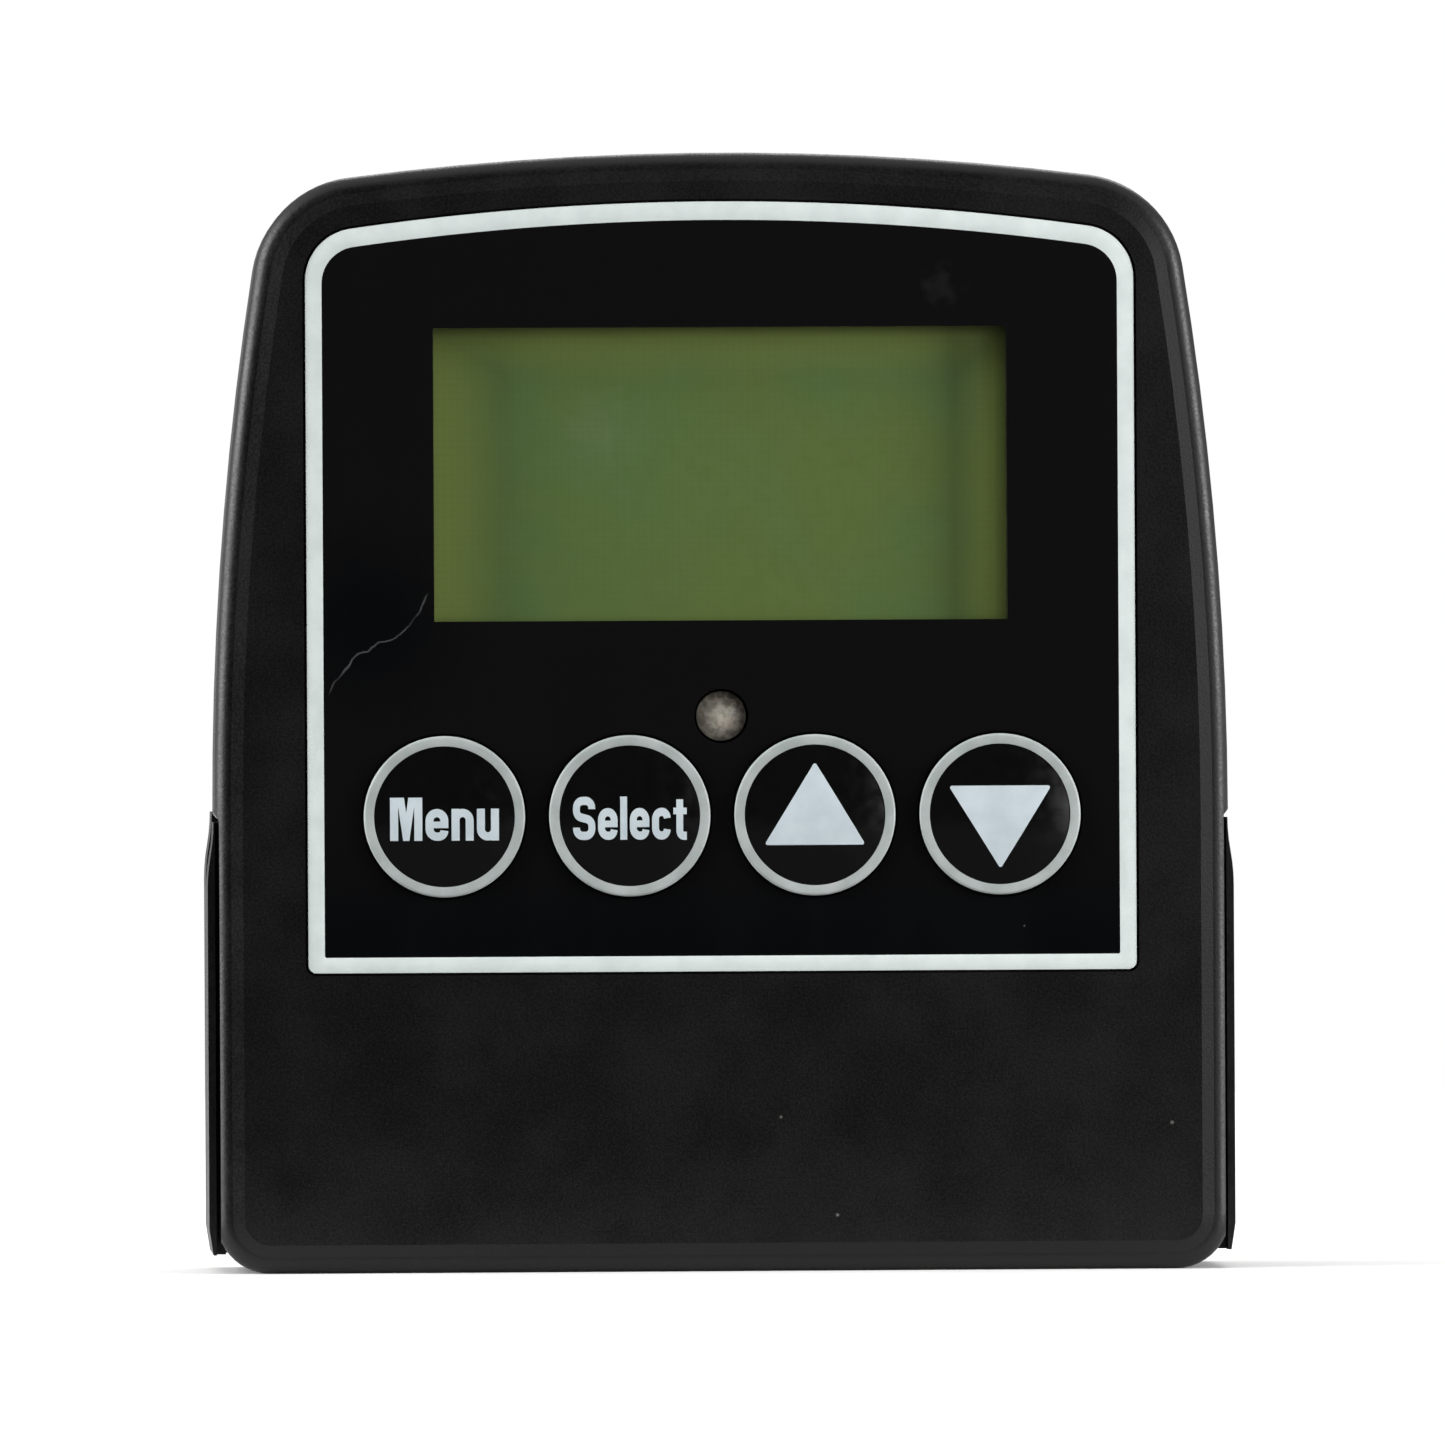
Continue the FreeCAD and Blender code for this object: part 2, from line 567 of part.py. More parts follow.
def loop_antenna():
    """Flat strip bowed under the crown of the case, which stands on the logic board by two feet."""
    half = 20.5
    y0, y1 = BOARD_Y + BOARD_T, RF_BOARD_Y + 1.6
    strip = case_prism(WALL + 1.1, y0 + 0.8, y1).cut(case_prism(WALL + 1.5, y0 - 1, y1 + 1))
    strip = strip.common(box((-half, half), (0, CASE_DEPTH), (CASE_H - 6, CASE_H)))
    foot = case_prism(WALL + 1.1, y0, y0 + 1.0).cut(case_prism(WALL + 2.6, y0 - 1, y0 + 2))
    foot = foot.common(box((half - 3.0, half), (0, CASE_DEPTH), (CASE_H - 8, CASE_H)))
    return join([strip, foot, mirrored(foot)])


# ---------------------------------------------------------------- alerts
def sounder():
    """Round buzzer behind the grille, with a sound hole in its face."""
    body = rod_y(SOUNDER_X, SOUNDER_Z, SOUNDER_R, 10.2, 13.8)
    body = body.makeFillet(0.4, edges_where(body, lambda b: at_y(b, 13.8)))
    return body.cut(rod_y(SOUNDER_X, SOUNDER_Z, 1.2, 12.8, 15.0))


def sounder_ring():
    """Foam ring that seals the buzzer against the rear cover."""
    outer = rod_y(SOUNDER_X, SOUNDER_Z, SOUNDER_R - 0.3, 13.8, CASE_DEPTH - WALL)
    return outer.cut(rod_y(SOUNDER_X, SOUNDER_Z, SOUNDER_R - 1.2, 13.0, CASE_DEPTH))


def motor_can():
    can = rod_x(MOTOR_Y, MOTOR_Z, MOTOR_R, *MOTOR_X)
    can = can.makeFillet(0.4, edges_where(can, lambda b: b.XLength < 1e-4))
    nose = rod_x(MOTOR_Y, MOTOR_Z, 1.2, MOTOR_X[1] - 0.2, MOTOR_X[1] + 0.6)
    bore = rod_x(MOTOR_Y, MOTOR_Z, SHAFT_BORE_R, MOTOR_X[0] + 4.0, MOTOR_X[1] + 1)
    return join([can, nose]).cut(bore)


def motor_boot():
    """Rubber sleeve with a flat foot that holds the motor on the board."""
    x = (MOTOR_X[0] + 1.5, MOTOR_X[1] - 1.6)
    sleeve = rod_x(MOTOR_Y, MOTOR_Z, MOTOR_R + 0.3, *x)
    foot = box(x, (BOARD_Y + BOARD_T, MOTOR_Y), (MOTOR_Z - MOTOR_R - 0.3, MOTOR_Z + MOTOR_R + 0.3))
    return join([sleeve, foot]).cut(rod_x(MOTOR_Y, MOTOR_Z, MOTOR_R, x[0] - 1, x[1] + 1))


def motor_shaft():
    return rod_x(MOTOR_Y, MOTOR_Z, SHAFT_R, MOTOR_X[0] + 4.3, MOTOR_X[1] + 5.2)


def eccentric_weight():
    """Half-round tungsten weight pressed on the shaft."""
    x0, x1 = MOTOR_X[1] + 1.0, MOTOR_X[1] + 5.0
    sector = rod_x(MOTOR_Y, MOTOR_Z, 2.7, x0, x1)
    sector = sector.cut(box((x0 - 1, x1 + 1), (MOTOR_Y - 4, MOTOR_Y + 4), (MOTOR_Z, MOTOR_Z + 4)))
    hub = rod_x(MOTOR_Y, MOTOR_Z, 1.1, x0, x1)
    return join([sector, hub]).cut(rod_x(MOTOR_Y, MOTOR_Z, SHAFT_R, x0 - 1, x1 + 1))


# ---------------------------------------------------------------- power
def battery_holder():
    """Open-backed tray for the cell."""
    w = BAY_WALL
    tray = box((-BAY_HALF_W - w, BAY_HALF_W + w), (BAY_Y[0] - w, BAY_Y[1]), (BAY_Z[0] - w, BAY_Z[1] + w))
    return tray.cut(box((-BAY_HALF_W, BAY_HALF_W), (BAY_Y[0], BAY_Y[1] + 1), BAY_Z))


def battery_cell():
    x1 = CELL_X0 + CELL_LENGTH
    can = rod_x(CELL_Y, CELL_Z, CELL_R, CELL_X0, x1 - CELL_CAP_T)
    can = can.makeFillet(0.45, edges_where(can, lambda b: b.XLength < 1e-4))
    cap = rod_x(CELL_Y, CELL_Z, CELL_CAP_R, x1 - CELL_CAP_T - 0.3, x1)
    return join([can, cap])


def positive_contact():
    """Sprung sheet contact at the cell's cap, with a pressed dimple."""
    x1 = CELL_X0 + CELL_LENGTH
    wall = BAY_HALF_W
    blade = box((wall - 0.3, wall), (5.0, 12.0), (6.5, 14.5))
    foot = box((wall - 1.0, wall - 0.3), (5.0, 12.0), (6.5, 6.8))
    leaf = box((x1, x1 + 0.3), (6.6, 10.4), (6.5, 13.0))
    shelf = box((x1, wall - 0.3), (6.6, 10.4), (6.5, 6.8))
    return join([blade, foot, leaf, shelf])


def coil_x(radius, wire_r, turns, x0, x1, y, z):
    """Wire coiled round an axis along X between the outsides x0 and x1, as tangent half-turn arcs."""
    step = (x1 - x0 - 2 * wire_r) / (2 * turns)
    bulge = math.hypot(radius, step / 2)
    arcs = []
    for i in range(2 * turns):
        side = (-1) ** i
        x = x0 + wire_r + i * step
        start, end = vec(x, y + side * radius, z), vec(x + step, y - side * radius, z)
        arcs.append(Part.Arc(start, vec(x + step / 2, y, z + side * bulge), end).toShape())
    ring = Part.Wire(Part.makeCircle(wire_r, vec(x0 + wire_r, y + radius, z), vec(0, 0, 1)))
    return Part.Wire(arcs).makePipeShell([ring], True, True)


def negative_spring():
    """Coil that presses on the flat end of the cell, on a sheet base."""
    wall = -BAY_HALF_W
    base = box((wall, wall + 0.3), (4.6, 12.4), (6.3, 14.7))
    return group([base, coil_x(2.9, 0.3, 3, wall + 0.35, CELL_X0 - 0.05, CELL_Y, CELL_Z)])


def battery_door():
    """Flush door with tabs that hook under the cover, grip grooves and a sunk arrow that points down."""
    y0 = CASE_DEPTH - DOOR_T
    plate = box((-DOOR_HALF_W, DOOR_HALF_W), (y0, CASE_DEPTH), DOOR_Z)
    plate = plate.makeFillet(0.3, edges_where(plate, lambda b: at_y(b, CASE_DEPTH)))
    tabs = []
    for side in (-1, 1):
        x = sorted((side * (DOOR_HALF_W - 0.5), side * (DOOR_HALF_W + TAB_OUT)))
        tabs += [box(x, (y0, y0 + TAB_T), (z, z + TAB_LENGTH)) for z in TAB_STARTS]
    grooves = [rod_x(CASE_DEPTH + 0.35, 6.6 + 1.5 * i, 0.75, -7.0, 7.0) for i in range(4)]
    arrow = prism_y([(-1.6, 14.8), (1.6, 14.8), (0.0, 13.0)], CASE_DEPTH - 0.25, CASE_DEPTH + 1)
    return join([plate] + tabs).cut(grooves + [arrow])


# ---------------------------------------------------------------- holster and belt clip
def bend(x0, z0, x1, z1, y):
    """S-curve of two arcs in the plane at y. It leaves (x0, z0) and reaches (x1, z1) upright."""
    dx, dz = x1 - x0, z1 - z0
    r = (dx ** 2 + dz ** 2) / (4 * abs(dx))
    half = math.asin(dz / 2 / r) / 2
    rise, run = r * math.sin(half), r * (1 - math.cos(half)) * math.copysign(1, dx)
    middle = vec(x0 + dx / 2, y, z0 + dz / 2)
    first = Part.Arc(vec(x0, y, z0), vec(x0 + run, y, z0 + rise), middle).toShape()
    second = Part.Arc(middle, vec(x1 - run, y, z1 - rise), vec(x1, y, z1)).toShape()
    return [first, second]


def arm_slab(inner, y0, y1, z1):
    """Right arm from its inner face outwards, between y0 and y1 and up to z1: tapered foot and blended head."""
    z0 = ARM_Z[0]
    head = max(inner, LIP_ARM_IN) + 0.08
    low = [(head, z1), (inner, z1), (inner, z0), (ARM_OUT - 0.25, z0), (ARM_OUT, z0 + 1.6),
           (ARM_OUT, z1 - ARM_SHOULDER)]
    lines = [Part.makeLine(vec(a[0], y0, a[1]), vec(b[0], y0, b[1])) for a, b in zip(low, low[1:])]
    shoulder = bend(ARM_OUT, z1 - ARM_SHOULDER, head, z1, y0)
    return Part.Face(Part.Wire(lines + shoulder)).extrude(vec(0, y1 - y0, 0))


def holster_arm():
    """Right arm: wraps the side of the pager, with a thin lip in front and a hook in the cover's groove."""
    back = HOLSTER_Y[1]
    arm = join([arm_slab(LIP_ARM_IN, ARM_Y0, LIP_BACK_Y, FRONT_ARM_TOP),
                arm_slab(SIDE_ARM_IN, LIP_BACK_Y, REAR_ARM_Y0, FRONT_ARM_TOP),
                arm_slab(REAR_ARM_IN, REAR_ARM_Y0, back, ARM_Z[1])])
    flank = edges_where(arm, lambda b: b.XMin > ARM_OUT - 0.01 and b.ZLength > 5 and at_y(b, back))
    arm = arm.makeFillet(0.8, flank)
    z0, z1 = ARM_Z
    hook = box((HOOK_IN, REAR_ARM_IN + 0.3), HOOK_Y, (z0 + 0.6, z1 - 3.0))
    leg = box((LEG_IN, REAR_ARM_IN + 0.5), HOLSTER_Y, (z0, PLATE_Z[0] + 2))
    return [arm, hook, leg]


def holster_body():
    """Back plate with two arms round the pager's sides and two ears for the clip's pin."""
    foot, head = REAR_ARM_IN + 0.4, PLATE_HEAD_HALF_W
    half = [(foot, PLATE_Z[0]), (foot, ARM_Z[1]), (head + 6.0, 38.0), (head, 44.0), (head, PLATE_Z[1])]
    plate = prism_y(half + [(-x, z) for x, z in reversed(half)], *HOLSTER_Y)
    soft = edges_where(plate, lambda b: along_y(b, HOLSTER_Y[1] - HOLSTER_Y[0]) and b.ZMin > 30)
    plate = plate.makeFillet(3.0, soft)
    right = holster_arm()
    ears = []
    for side in (-1, 1):
        x = sorted(side * v for v in EAR_X)
        ears.append(box(x, (HOLSTER_Y[1] - 0.5, PIN_Y), (PIN_Z - 2.3, PIN_Z + 2.3)))
        ears.append(rod_x(PIN_Y, PIN_Z, 2.3, *x))
    body = join([plate] + right + [mirrored(s) for s in right] + ears)
    return body.cut(rod_x(PIN_Y, PIN_Z, PIN_R, -20, 20))


def clip_pin():
    end = EAR_X[1] + 0.2
    pin = rod_x(PIN_Y, PIN_Z, PIN_R, -end, end)
    return pin.makeChamfer(0.15, edges_where(pin, lambda b: b.XLength < 1e-4))


def belt_clip():
    """Clip with two knuckles on the pin, a ribbed thumb tab above it and a hooked toe below."""
    inner, outer = CLIP_BACK_Y - CLIP_T, CLIP_BACK_Y
    z0, z1 = CLIP_Z
    profile = [(inner, z0 + 3.4), (inner, z1 - 1.5), (inner - 0.5, z1), (outer - 0.9, z1),
               (outer, z1 - 4.0), (outer, z0 + 2.2), (outer - 1.6, z0), (inner - 2.2, z0),
               (inner - 3.0, z0 + 0.9), (inner - 2.6, z0 + 1.8)]
    blade = prism_x(profile, -CLIP_HALF_W, CLIP_HALF_W)
    blade = blade.makeFillet(0.35, edges_where(blade, lambda b: b.XLength > 1 and b.YMin > inner - 2.8))
    blade = blade.common(rounded_plate((-CLIP_HALF_W, CLIP_HALF_W), (10.0, 30.0), CLIP_Z, 4.5))
    grip = [rod_x(outer + 0.3, z1 - 5.5 + 1.4 * i, 0.6, -6.0, 6.0) for i in range(4)]
    blade = blade.cut(grip)
    knuckle_x = (SPRING_HALF_W + 0.6, EAR_X[0] - 0.2)
    knuckles = []
    for side in (-1, 1):
        x = sorted(side * v for v in knuckle_x)
        knuckles.append(rod_x(PIN_Y, PIN_Z, KNUCKLE_R, *x))
        knuckles.append(box(x, (PIN_Y, inner + 0.5), (PIN_Z - KNUCKLE_R, PIN_Z + KNUCKLE_R)))
    clip = join([blade] + knuckles)
    return clip.cut(rod_x(PIN_Y, PIN_Z, PIN_R + 0.06, -20, 20))


def clip_spring():
    """Torsion coil that lies round the pin between the clip's knuckles."""
    return coil_x(SPRING_R, SPRING_WIRE_R, 5, -SPRING_HALF_W, SPRING_HALF_W, PIN_Y, PIN_Z)


# ---------------------------------------------------------------- save
def save(name, shape):
    shape = shape.copy()
    shape.translate(vec(0, -MIDDLE_Y, 0))
    if not shape.isValid():
        print("not valid:", name)
    shape.exportStep("parts/" + name + ".step")


PIECES = (front_cover, rear_cover, case_screws, panel_overlay, display_window, keypad_mat, snap_domes,
          lcd_glass, lcd_frame, backlight_guide, backlight_leds, zebra_strip, status_led, led_leads,
          logic_board, microcontroller, decoder_chip, memory_chip, quartz_crystal, board_connector,
          receiver_board, rf_shield, receiver_chip, channel_crystal, trimmer, chip_parts, loop_antenna,
          sounder, sounder_ring, motor_can, motor_boot, motor_shaft, eccentric_weight, battery_holder,
          battery_cell, positive_contact, negative_spring, battery_door, holster_body, clip_pin,
          belt_clip, clip_spring)


def main():
    os.makedirs("parts", exist_ok=True)
    for piece in PIECES:
        save(piece.__name__, piece())
    for name, x in zip(KEY_NAMES, key_xs()):
        save(name, key_cap(x))


main()
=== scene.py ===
"""Looks of a belt pager in its clip holster, round its CAD frame: materials, printed marks, light and camera.

The frame is in metres, with X to the right, Z up, and the pager's front facing -Y. The sizes of marks and of
textures are in mm, and are carried to metres by MM where they meet the frame.
"""
import math

import bmesh
import bpy
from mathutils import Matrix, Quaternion, Vector
from mathutils.geometry import delaunay_2d_cdt


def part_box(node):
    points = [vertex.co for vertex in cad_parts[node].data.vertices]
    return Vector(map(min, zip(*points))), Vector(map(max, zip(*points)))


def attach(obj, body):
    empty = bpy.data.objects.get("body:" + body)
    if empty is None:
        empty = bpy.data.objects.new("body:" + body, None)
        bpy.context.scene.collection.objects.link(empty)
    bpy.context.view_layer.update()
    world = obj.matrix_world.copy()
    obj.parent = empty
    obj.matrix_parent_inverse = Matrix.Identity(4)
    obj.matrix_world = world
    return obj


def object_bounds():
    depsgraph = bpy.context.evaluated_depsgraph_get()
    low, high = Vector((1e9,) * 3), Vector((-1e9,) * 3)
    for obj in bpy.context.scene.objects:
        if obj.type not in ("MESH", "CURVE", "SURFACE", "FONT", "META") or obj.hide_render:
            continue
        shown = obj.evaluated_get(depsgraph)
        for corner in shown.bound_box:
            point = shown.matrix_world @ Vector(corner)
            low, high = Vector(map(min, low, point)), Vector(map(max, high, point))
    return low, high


MM = 0.001

# ---------------------------------------------------------------- sizes of the printed marks, in mm
INK_T = 0.02                # height of the ink over what it is printed on
INK_ROOT = 0.008            # depth of the ink's underside below that surface
LINE_SIDE, LINE_FOOT, LINE_HEAD = 1.0, 0.94, 1.12   # width of the panel's border line
LINE_INSET = 0.02           # from the panel's edge to the line
LINE_THIN = 0.03            # share of the line's width over which its ink thins out at each edge
PANEL_TOP_R = 161.0
LINE_CORNER_R, LINE_CORNER_LESS = 3.2, 0.95     # of the line's upper corners, and how much less inside
LINE_FOOT_R, LINE_FOOT_LESS = 0.5, 0.38         # the same for its lower corners
KEY_R = 4.88
KEY_RIM_FILLET = 0.15
KEY_DOME = 0.35             # crown of a key over its rim
KEY_CROWN_R = 4.2
RING_IN_R = 4.27
RING_THIN = 0.04            # width over which the ring's ink thins out inside
RING_SIDES = 96
WRAP_STEPS, WRAP_ANGLE = 6, 72.0    # the ring's ink reaches this many degrees round the rim's fillet
CELL = 0.45                 # marks on a crowned key are cut into cells of this size, so that they follow it
LEGENDS = {"key_menu": ("Menu", 6.6), "key_select": ("Select", 6.9)}   # word and its width
CAP_HEIGHT = 2.62
SMALL_HEIGHT = 1.93         # height of a letter such as e
BASELINE = -1.45            # from the key's centre
STROKE = 0.5                # width of a letter's strokes
LETTER_GAP = 0.2
ARROWS = {"key_up": ((-3.1, -1.82), (3.06, -1.82), (0.0, 3.23)),
          "key_down": ((-3.13, 1.72), (0.0, -3.33), (3.13, 1.72))}
ARROW_CORNER_R = 0.12
KEY_BODIES = {"key_menu": "menu_key", "key_select": "select_key", "key_up": "up_key", "key_down": "down_key"}
INKS = {                    # where the cover is full, and where it is worn
    "border_ink": ((0.78, 0.85, 0.83), (0.70, 0.77, 0.75)),
    "ring_ink": ((0.48, 0.52, 0.51), (0.38, 0.42, 0.41)),
    "legend_ink": ((0.64, 0.72, 0.76), (0.56, 0.64, 0.68)),
}

# ---------------------------------------------------------------- camera
CAMERA_DISTANCE = 1.3
CAMERA_AZIMUTH = -2.2       # degrees; the camera stands slightly to the object's left
CAMERA_ROLL = -0.3
CAMERA_AIM = (0.02, 33.3)   # x and z of the view's middle on the front face, in mm
VIEW_WIDTH = 87.6           # mm across the picture at the front face
SENSOR = 36.0

# ---------------------------------------------------------------- light: place and size in m, power in W
LAMPS = {
    "left_light": ((-1.4, -0.2, 0.35), (1.0, 1.2), 38.0),
    "right_light": ((0.42, -0.17, 0.06), (0.2, 0.34), 2.9),
    "front_light": ((0.17, -0.28, 0.07), (0.1, 0.16), 0.12),
    "back_light": ((0.2, 1.0, 0.9), (0.8, 0.5), 5.0),
}
LAMP_AIM = (0.0, 0.0, 0.03)
FLOOR_HALF = 0.6


# ================================================================ materials
class Nodes:
    """A node tree, emptied, and short ways to add nodes to it and join them."""

    def __init__(self, tree):
        self.tree = tree
        self.tree.nodes.clear()

    def node(self, kind, **settings):
        made = self.tree.nodes.new(kind)
        for key, value in settings.items():
            setattr(made, key, value)
        return made

    def join(self, source, target):
        self.tree.links.new(source, target)

    def put(self, socket, value):
        """A plain value, or another node's output, into a socket."""
        if isinstance(value, bpy.types.NodeSocket):
            self.join(value, socket)
        elif hasattr(value, "__len__") and socket.type == "RGBA":
            socket.default_value = (*value[:3], 1.0)
        else:
            socket.default_value = value

    def math(self, operation, a, b=0.0):
        made = self.node("ShaderNodeMath", operation=operation)
        self.put(made.inputs[0], a)
        self.put(made.inputs[1], b)
        return made.outputs[0]

    def product(self, first, *others):
        for other in others:
            first = self.math("MULTIPLY", first, other)
        return first

    def span(self, value, low, high, to_low=0.0, to_high=1.0):
        """value, carried smoothly from the range low..high to the range to_low..to_high."""
        made = self.node("ShaderNodeMapRange", interpolation_type="SMOOTHSTEP")
        for socket, number in zip(made.inputs, (value, low, high, to_low, to_high)):
            self.put(socket, number)
        return made.outputs[0]


class Look(Nodes):
    """The nodes of one material: a principled shader, and short ways to add what feeds it."""

    def __init__(self, name, **sockets):
        mat = bpy.data.materials.get(name) or bpy.data.materials.new(name)
        mat.use_nodes = True
        super().__init__(mat.node_tree)
        self.out = self.node("ShaderNodeOutputMaterial")
        self.shader = self.node("ShaderNodeBsdfPrincipled")
        self.join(self.shader.outputs["BSDF"], self.out.inputs["Surface"])
        self.point = self.node("ShaderNodeTexCoord").outputs["Object"]
        for socket, value in sockets.items():
            self.feed(socket.replace("_", " "), value)

    def feed(self, name, value):
        self.put(self.shader.inputs[name], value)

    def axis(self, name):
        """One coordinate of the point, in mm."""
        parts = self.node("ShaderNodeSeparateXYZ")
        self.join(self.point, parts.inputs[0])
        return self.product(parts.outputs[name], 1 / MM)

    def distance(self, x0, z0):
        """How far the point is from x0, z0 as seen from the front, in mm."""
        dx = self.math("SUBTRACT", self.axis("X"), x0)
        dz = self.math("SUBTRACT", self.axis("Z"), z0)
        return self.math("SQRT", self.math("ADD", self.product(dx, dx), self.product(dz, dz)))

    def wave(self, along, pitch):
        """Sine stripes of that pitch in mm along a coordinate."""
        return self.math("SINE", self.product(along, 2 * math.pi / pitch))

    def noise(self, size, detail=2.0, stretch=(1, 1, 1), seed=0.0):
        """Noise from 0 to 1, with blotches of about that size in mm."""
        stretched = self.node("ShaderNodeMapping")
        self.join(self.point, stretched.inputs["Vector"])
        stretched.inputs["Scale"].default_value = stretch
        made = self.node("ShaderNodeTexNoise", noise_dimensions="4D")
        self.join(stretched.outputs[0], made.inputs["Vector"])
        made.inputs["Scale"].default_value = 1 / (size * MM)
        made.inputs["Detail"].default_value = detail
        made.inputs["W"].default_value = seed
        return made.outputs["Fac"]

    def vary(self, noise, low=0.0, high=1.0):
        """Noise, spread over low..high. Nearly all of it lies between 0.3 and 0.7 before that."""
        return self.span(noise, 0.3, 0.7, low, high)

    def voronoi(self, size):
        made = self.node("ShaderNodeTexVoronoi")
        self.join(self.point, made.inputs["Vector"])
        made.inputs["Scale"].default_value = 1 / (size * MM)
        return made

    def cells(self, size, spread=1.0):
        """Distance from the middle of cells of that size in mm, in a grid (spread 0) or scattered (1)."""
        made = self.voronoi(size)
        made.inputs["Randomness"].default_value = spread
        return made.outputs["Distance"]

    def specks(self, size, share, radius=0.16):
        """A mask of scattered dots: one in each cell of that size for this share of the cells."""
        cell = self.voronoi(size)
        dot = self.span(cell.outputs["Distance"], radius, radius * 0.5)
        lucky = self.node("ShaderNodeSeparateColor")
        self.join(cell.outputs["Color"], lucky.inputs[0])
        return self.product(dot, self.math("LESS_THAN", lucky.outputs[0], share))

    def mix(self, share, a, b):
        made = self.node("ShaderNodeMix", data_type="RGBA")
        for i, value in ((0, share), (6, a), (7, b)):   # the sockets of the colour form
            self.put(made.inputs[i], value)
        return made.outputs[2]

    def tint(self, tone, colour, mask, share):
        """tone, with this share of colour where the mask is 1."""
        return self.mix(self.product(mask, share), tone, colour)

    def bump(self, height, depth, strength=1.0):
        """height from 0 to 1, as relief of that depth in mm."""
        made = self.node("ShaderNodeBump")
        made.inputs["Strength"].default_value = strength
        made.inputs["Distance"].default_value = depth * MM
        self.join(height, made.inputs["Height"])
        self.feed("Normal", made.outputs[0])


def moulded(name, dark, pale, rough, grain=0.16, depth=0.012, level=0.3):
    """Moulded plastic with a spark-eroded grain, cloudy colour and a little dust."""
    look = Look(name, Specular_IOR_Level=level)
    tone = look.mix(look.span(look.noise(9.0, 3.0), 0.35, 0.65), dark, pale)
    fleck = look.span(look.noise(0.22, 1.0, seed=3.0), 0.60, 0.78)
    tone = look.tint(tone, [3.0 * c for c in pale], fleck, 0.35)
    look.feed("Base Color", look.tint(tone, (0.16, 0.155, 0.145), look.specks(3.4, 0.10, 0.045), 0.7))
    smear = look.vary(look.noise(5.0, 4.0, seed=7.0), -0.05, 0.05)
    pits = look.vary(look.noise(grain, 2.0, seed=1.0), rough - 0.06, rough + 0.06)
    look.feed("Roughness", look.math("ADD", pits, smear))
    look.bump(look.noise(grain, 3.0, seed=1.0), depth)


def case_plastic(name):
    moulded(name, (0.0020, 0.0020, 0.0020), (0.0030, 0.0029, 0.0028), 0.40, level=0.34)


def holster_plastic(name):
    moulded(name, (0.0024, 0.0024, 0.0023), (0.0036, 0.0035, 0.0033), 0.45, 0.24, 0.018, 0.36)


def hairline(look):
    """A fine curved scratch between the border line and the window's lower left corner."""
    middle, height, slope, curl, reach = -20.8, 38.1, 0.45, 0.061, 3.1
    edge, core = 0.075, 0.015   # distances from its line at which it has faded out, and is full
    t = look.math("SUBTRACT", look.axis("X"), middle)
    run = look.math("ABSOLUTE", t)
    cubed = look.product(look.math("POWER", run, 3.0), look.math("SIGN", t))
    line = look.math("ADD", look.product(t, slope), look.product(cubed, curl))
    wander = look.span(look.noise(1.4, 3.0, seed=5.0), 0.2, 0.8, -0.22, 0.22)
    off = look.math("SUBTRACT", look.math("SUBTRACT", look.axis("Z"), height), look.math("ADD", line, wander))
    steep = look.math("ADD", slope, look.product(t, t, 3 * curl))
    across = look.math("DIVIDE", look.math("ABSOLUTE", off),
                       look.math("SQRT", look.math("ADD", look.product(steep, steep), 1.0)))
    stroke = look.span(across, edge, core)
    ends = look.span(run, reach, reach - 0.35)
    patchy = look.span(look.noise(0.9, 2.0, seed=11.0), 0.3, 0.6, 0.25, 1.0)
    return look.product(stroke, ends, patchy)


# Mask of a soft round spot: real marks on the panel, and a spot of painted glare on the display.
def smudge_and_glare(look, x0, z0, radius):
    rough_edge = look.span(look.noise(0.7, 3.0, seed=2.0), 0.25, 0.75, -0.8, 0.8)
    return look.span(look.math("ADD", look.distance(x0, z0), rough_edge), radius, 0.0)


def panel_print(name):
    """Glossy film printed black, with handling marks: a hairline, a thumbed spot and dust."""
    look = Look(name, Specular_IOR_Level=0.5)
    cool = look.math("MAXIMUM", look.span(look.axis("Z"), 28.0, 19.0), smudge_and_glare(look, -21.5, 39.5, 8.0))
    tone = look.mix(cool, (0.0050, 0.0046, 0.0047), (0.0018, 0.0024, 0.0030))
    tone = look.tint(tone, (0.016, 0.016, 0.016), smudge_and_glare(look, 13.4, 59.7, 1.5), 0.5)
    tone = look.tint(tone, (0.11, 0.11, 0.105), look.specks(2.6, 0.10, 0.03), 0.8)
    look.feed("Base Color", look.tint(tone, (0.075, 0.078, 0.08), hairline(look), 0.9))
    look.feed("Roughness", look.vary(look.noise(3.0, 5.0, (1.0, 1.0, 0.35), 8.0), 0.05, 0.13))
    look.bump(look.noise(2.2, 2.0, seed=9.0), 0.004, 0.5)


def key_plastic(name):
    """Glossy plastic of the keys, rubbed a little by fingers."""
    look = Look(name, Specular_IOR_Level=0.5)
    tone = look.mix(look.noise(2.0, 3.0), (0.0022, 0.0022, 0.0023), (0.0034, 0.0034, 0.0034))
    look.feed("Base Color", tone)
    look.feed("Roughness", look.vary(look.noise(0.8, 4.0, seed=2.0), 0.10, 0.19))
    look.bump(look.noise(1.1, 2.0, seed=6.0), 0.003, 0.5)


def ink(name, pale, worn, rough=0.42):
    """Screen-printed ink: slightly uneven cover, with pinholes and a soft grain."""
    look = Look(name, Specular_IOR_Level=0.4)
    tone = look.mix(look.vary(look.noise(1.6, 4.0)), worn, pale)
    pinholes = look.specks(0.9, 0.12, 0.05)
    look.feed("Base Color", look.tint(tone, [0.5 * c for c in worn], pinholes, 0.4))
    look.feed("Roughness", look.vary(look.noise(0.3, 2.0), rough - 0.06, rough + 0.08))
    look.bump(look.noise(0.18, 2.0, seed=3.0), 0.004)


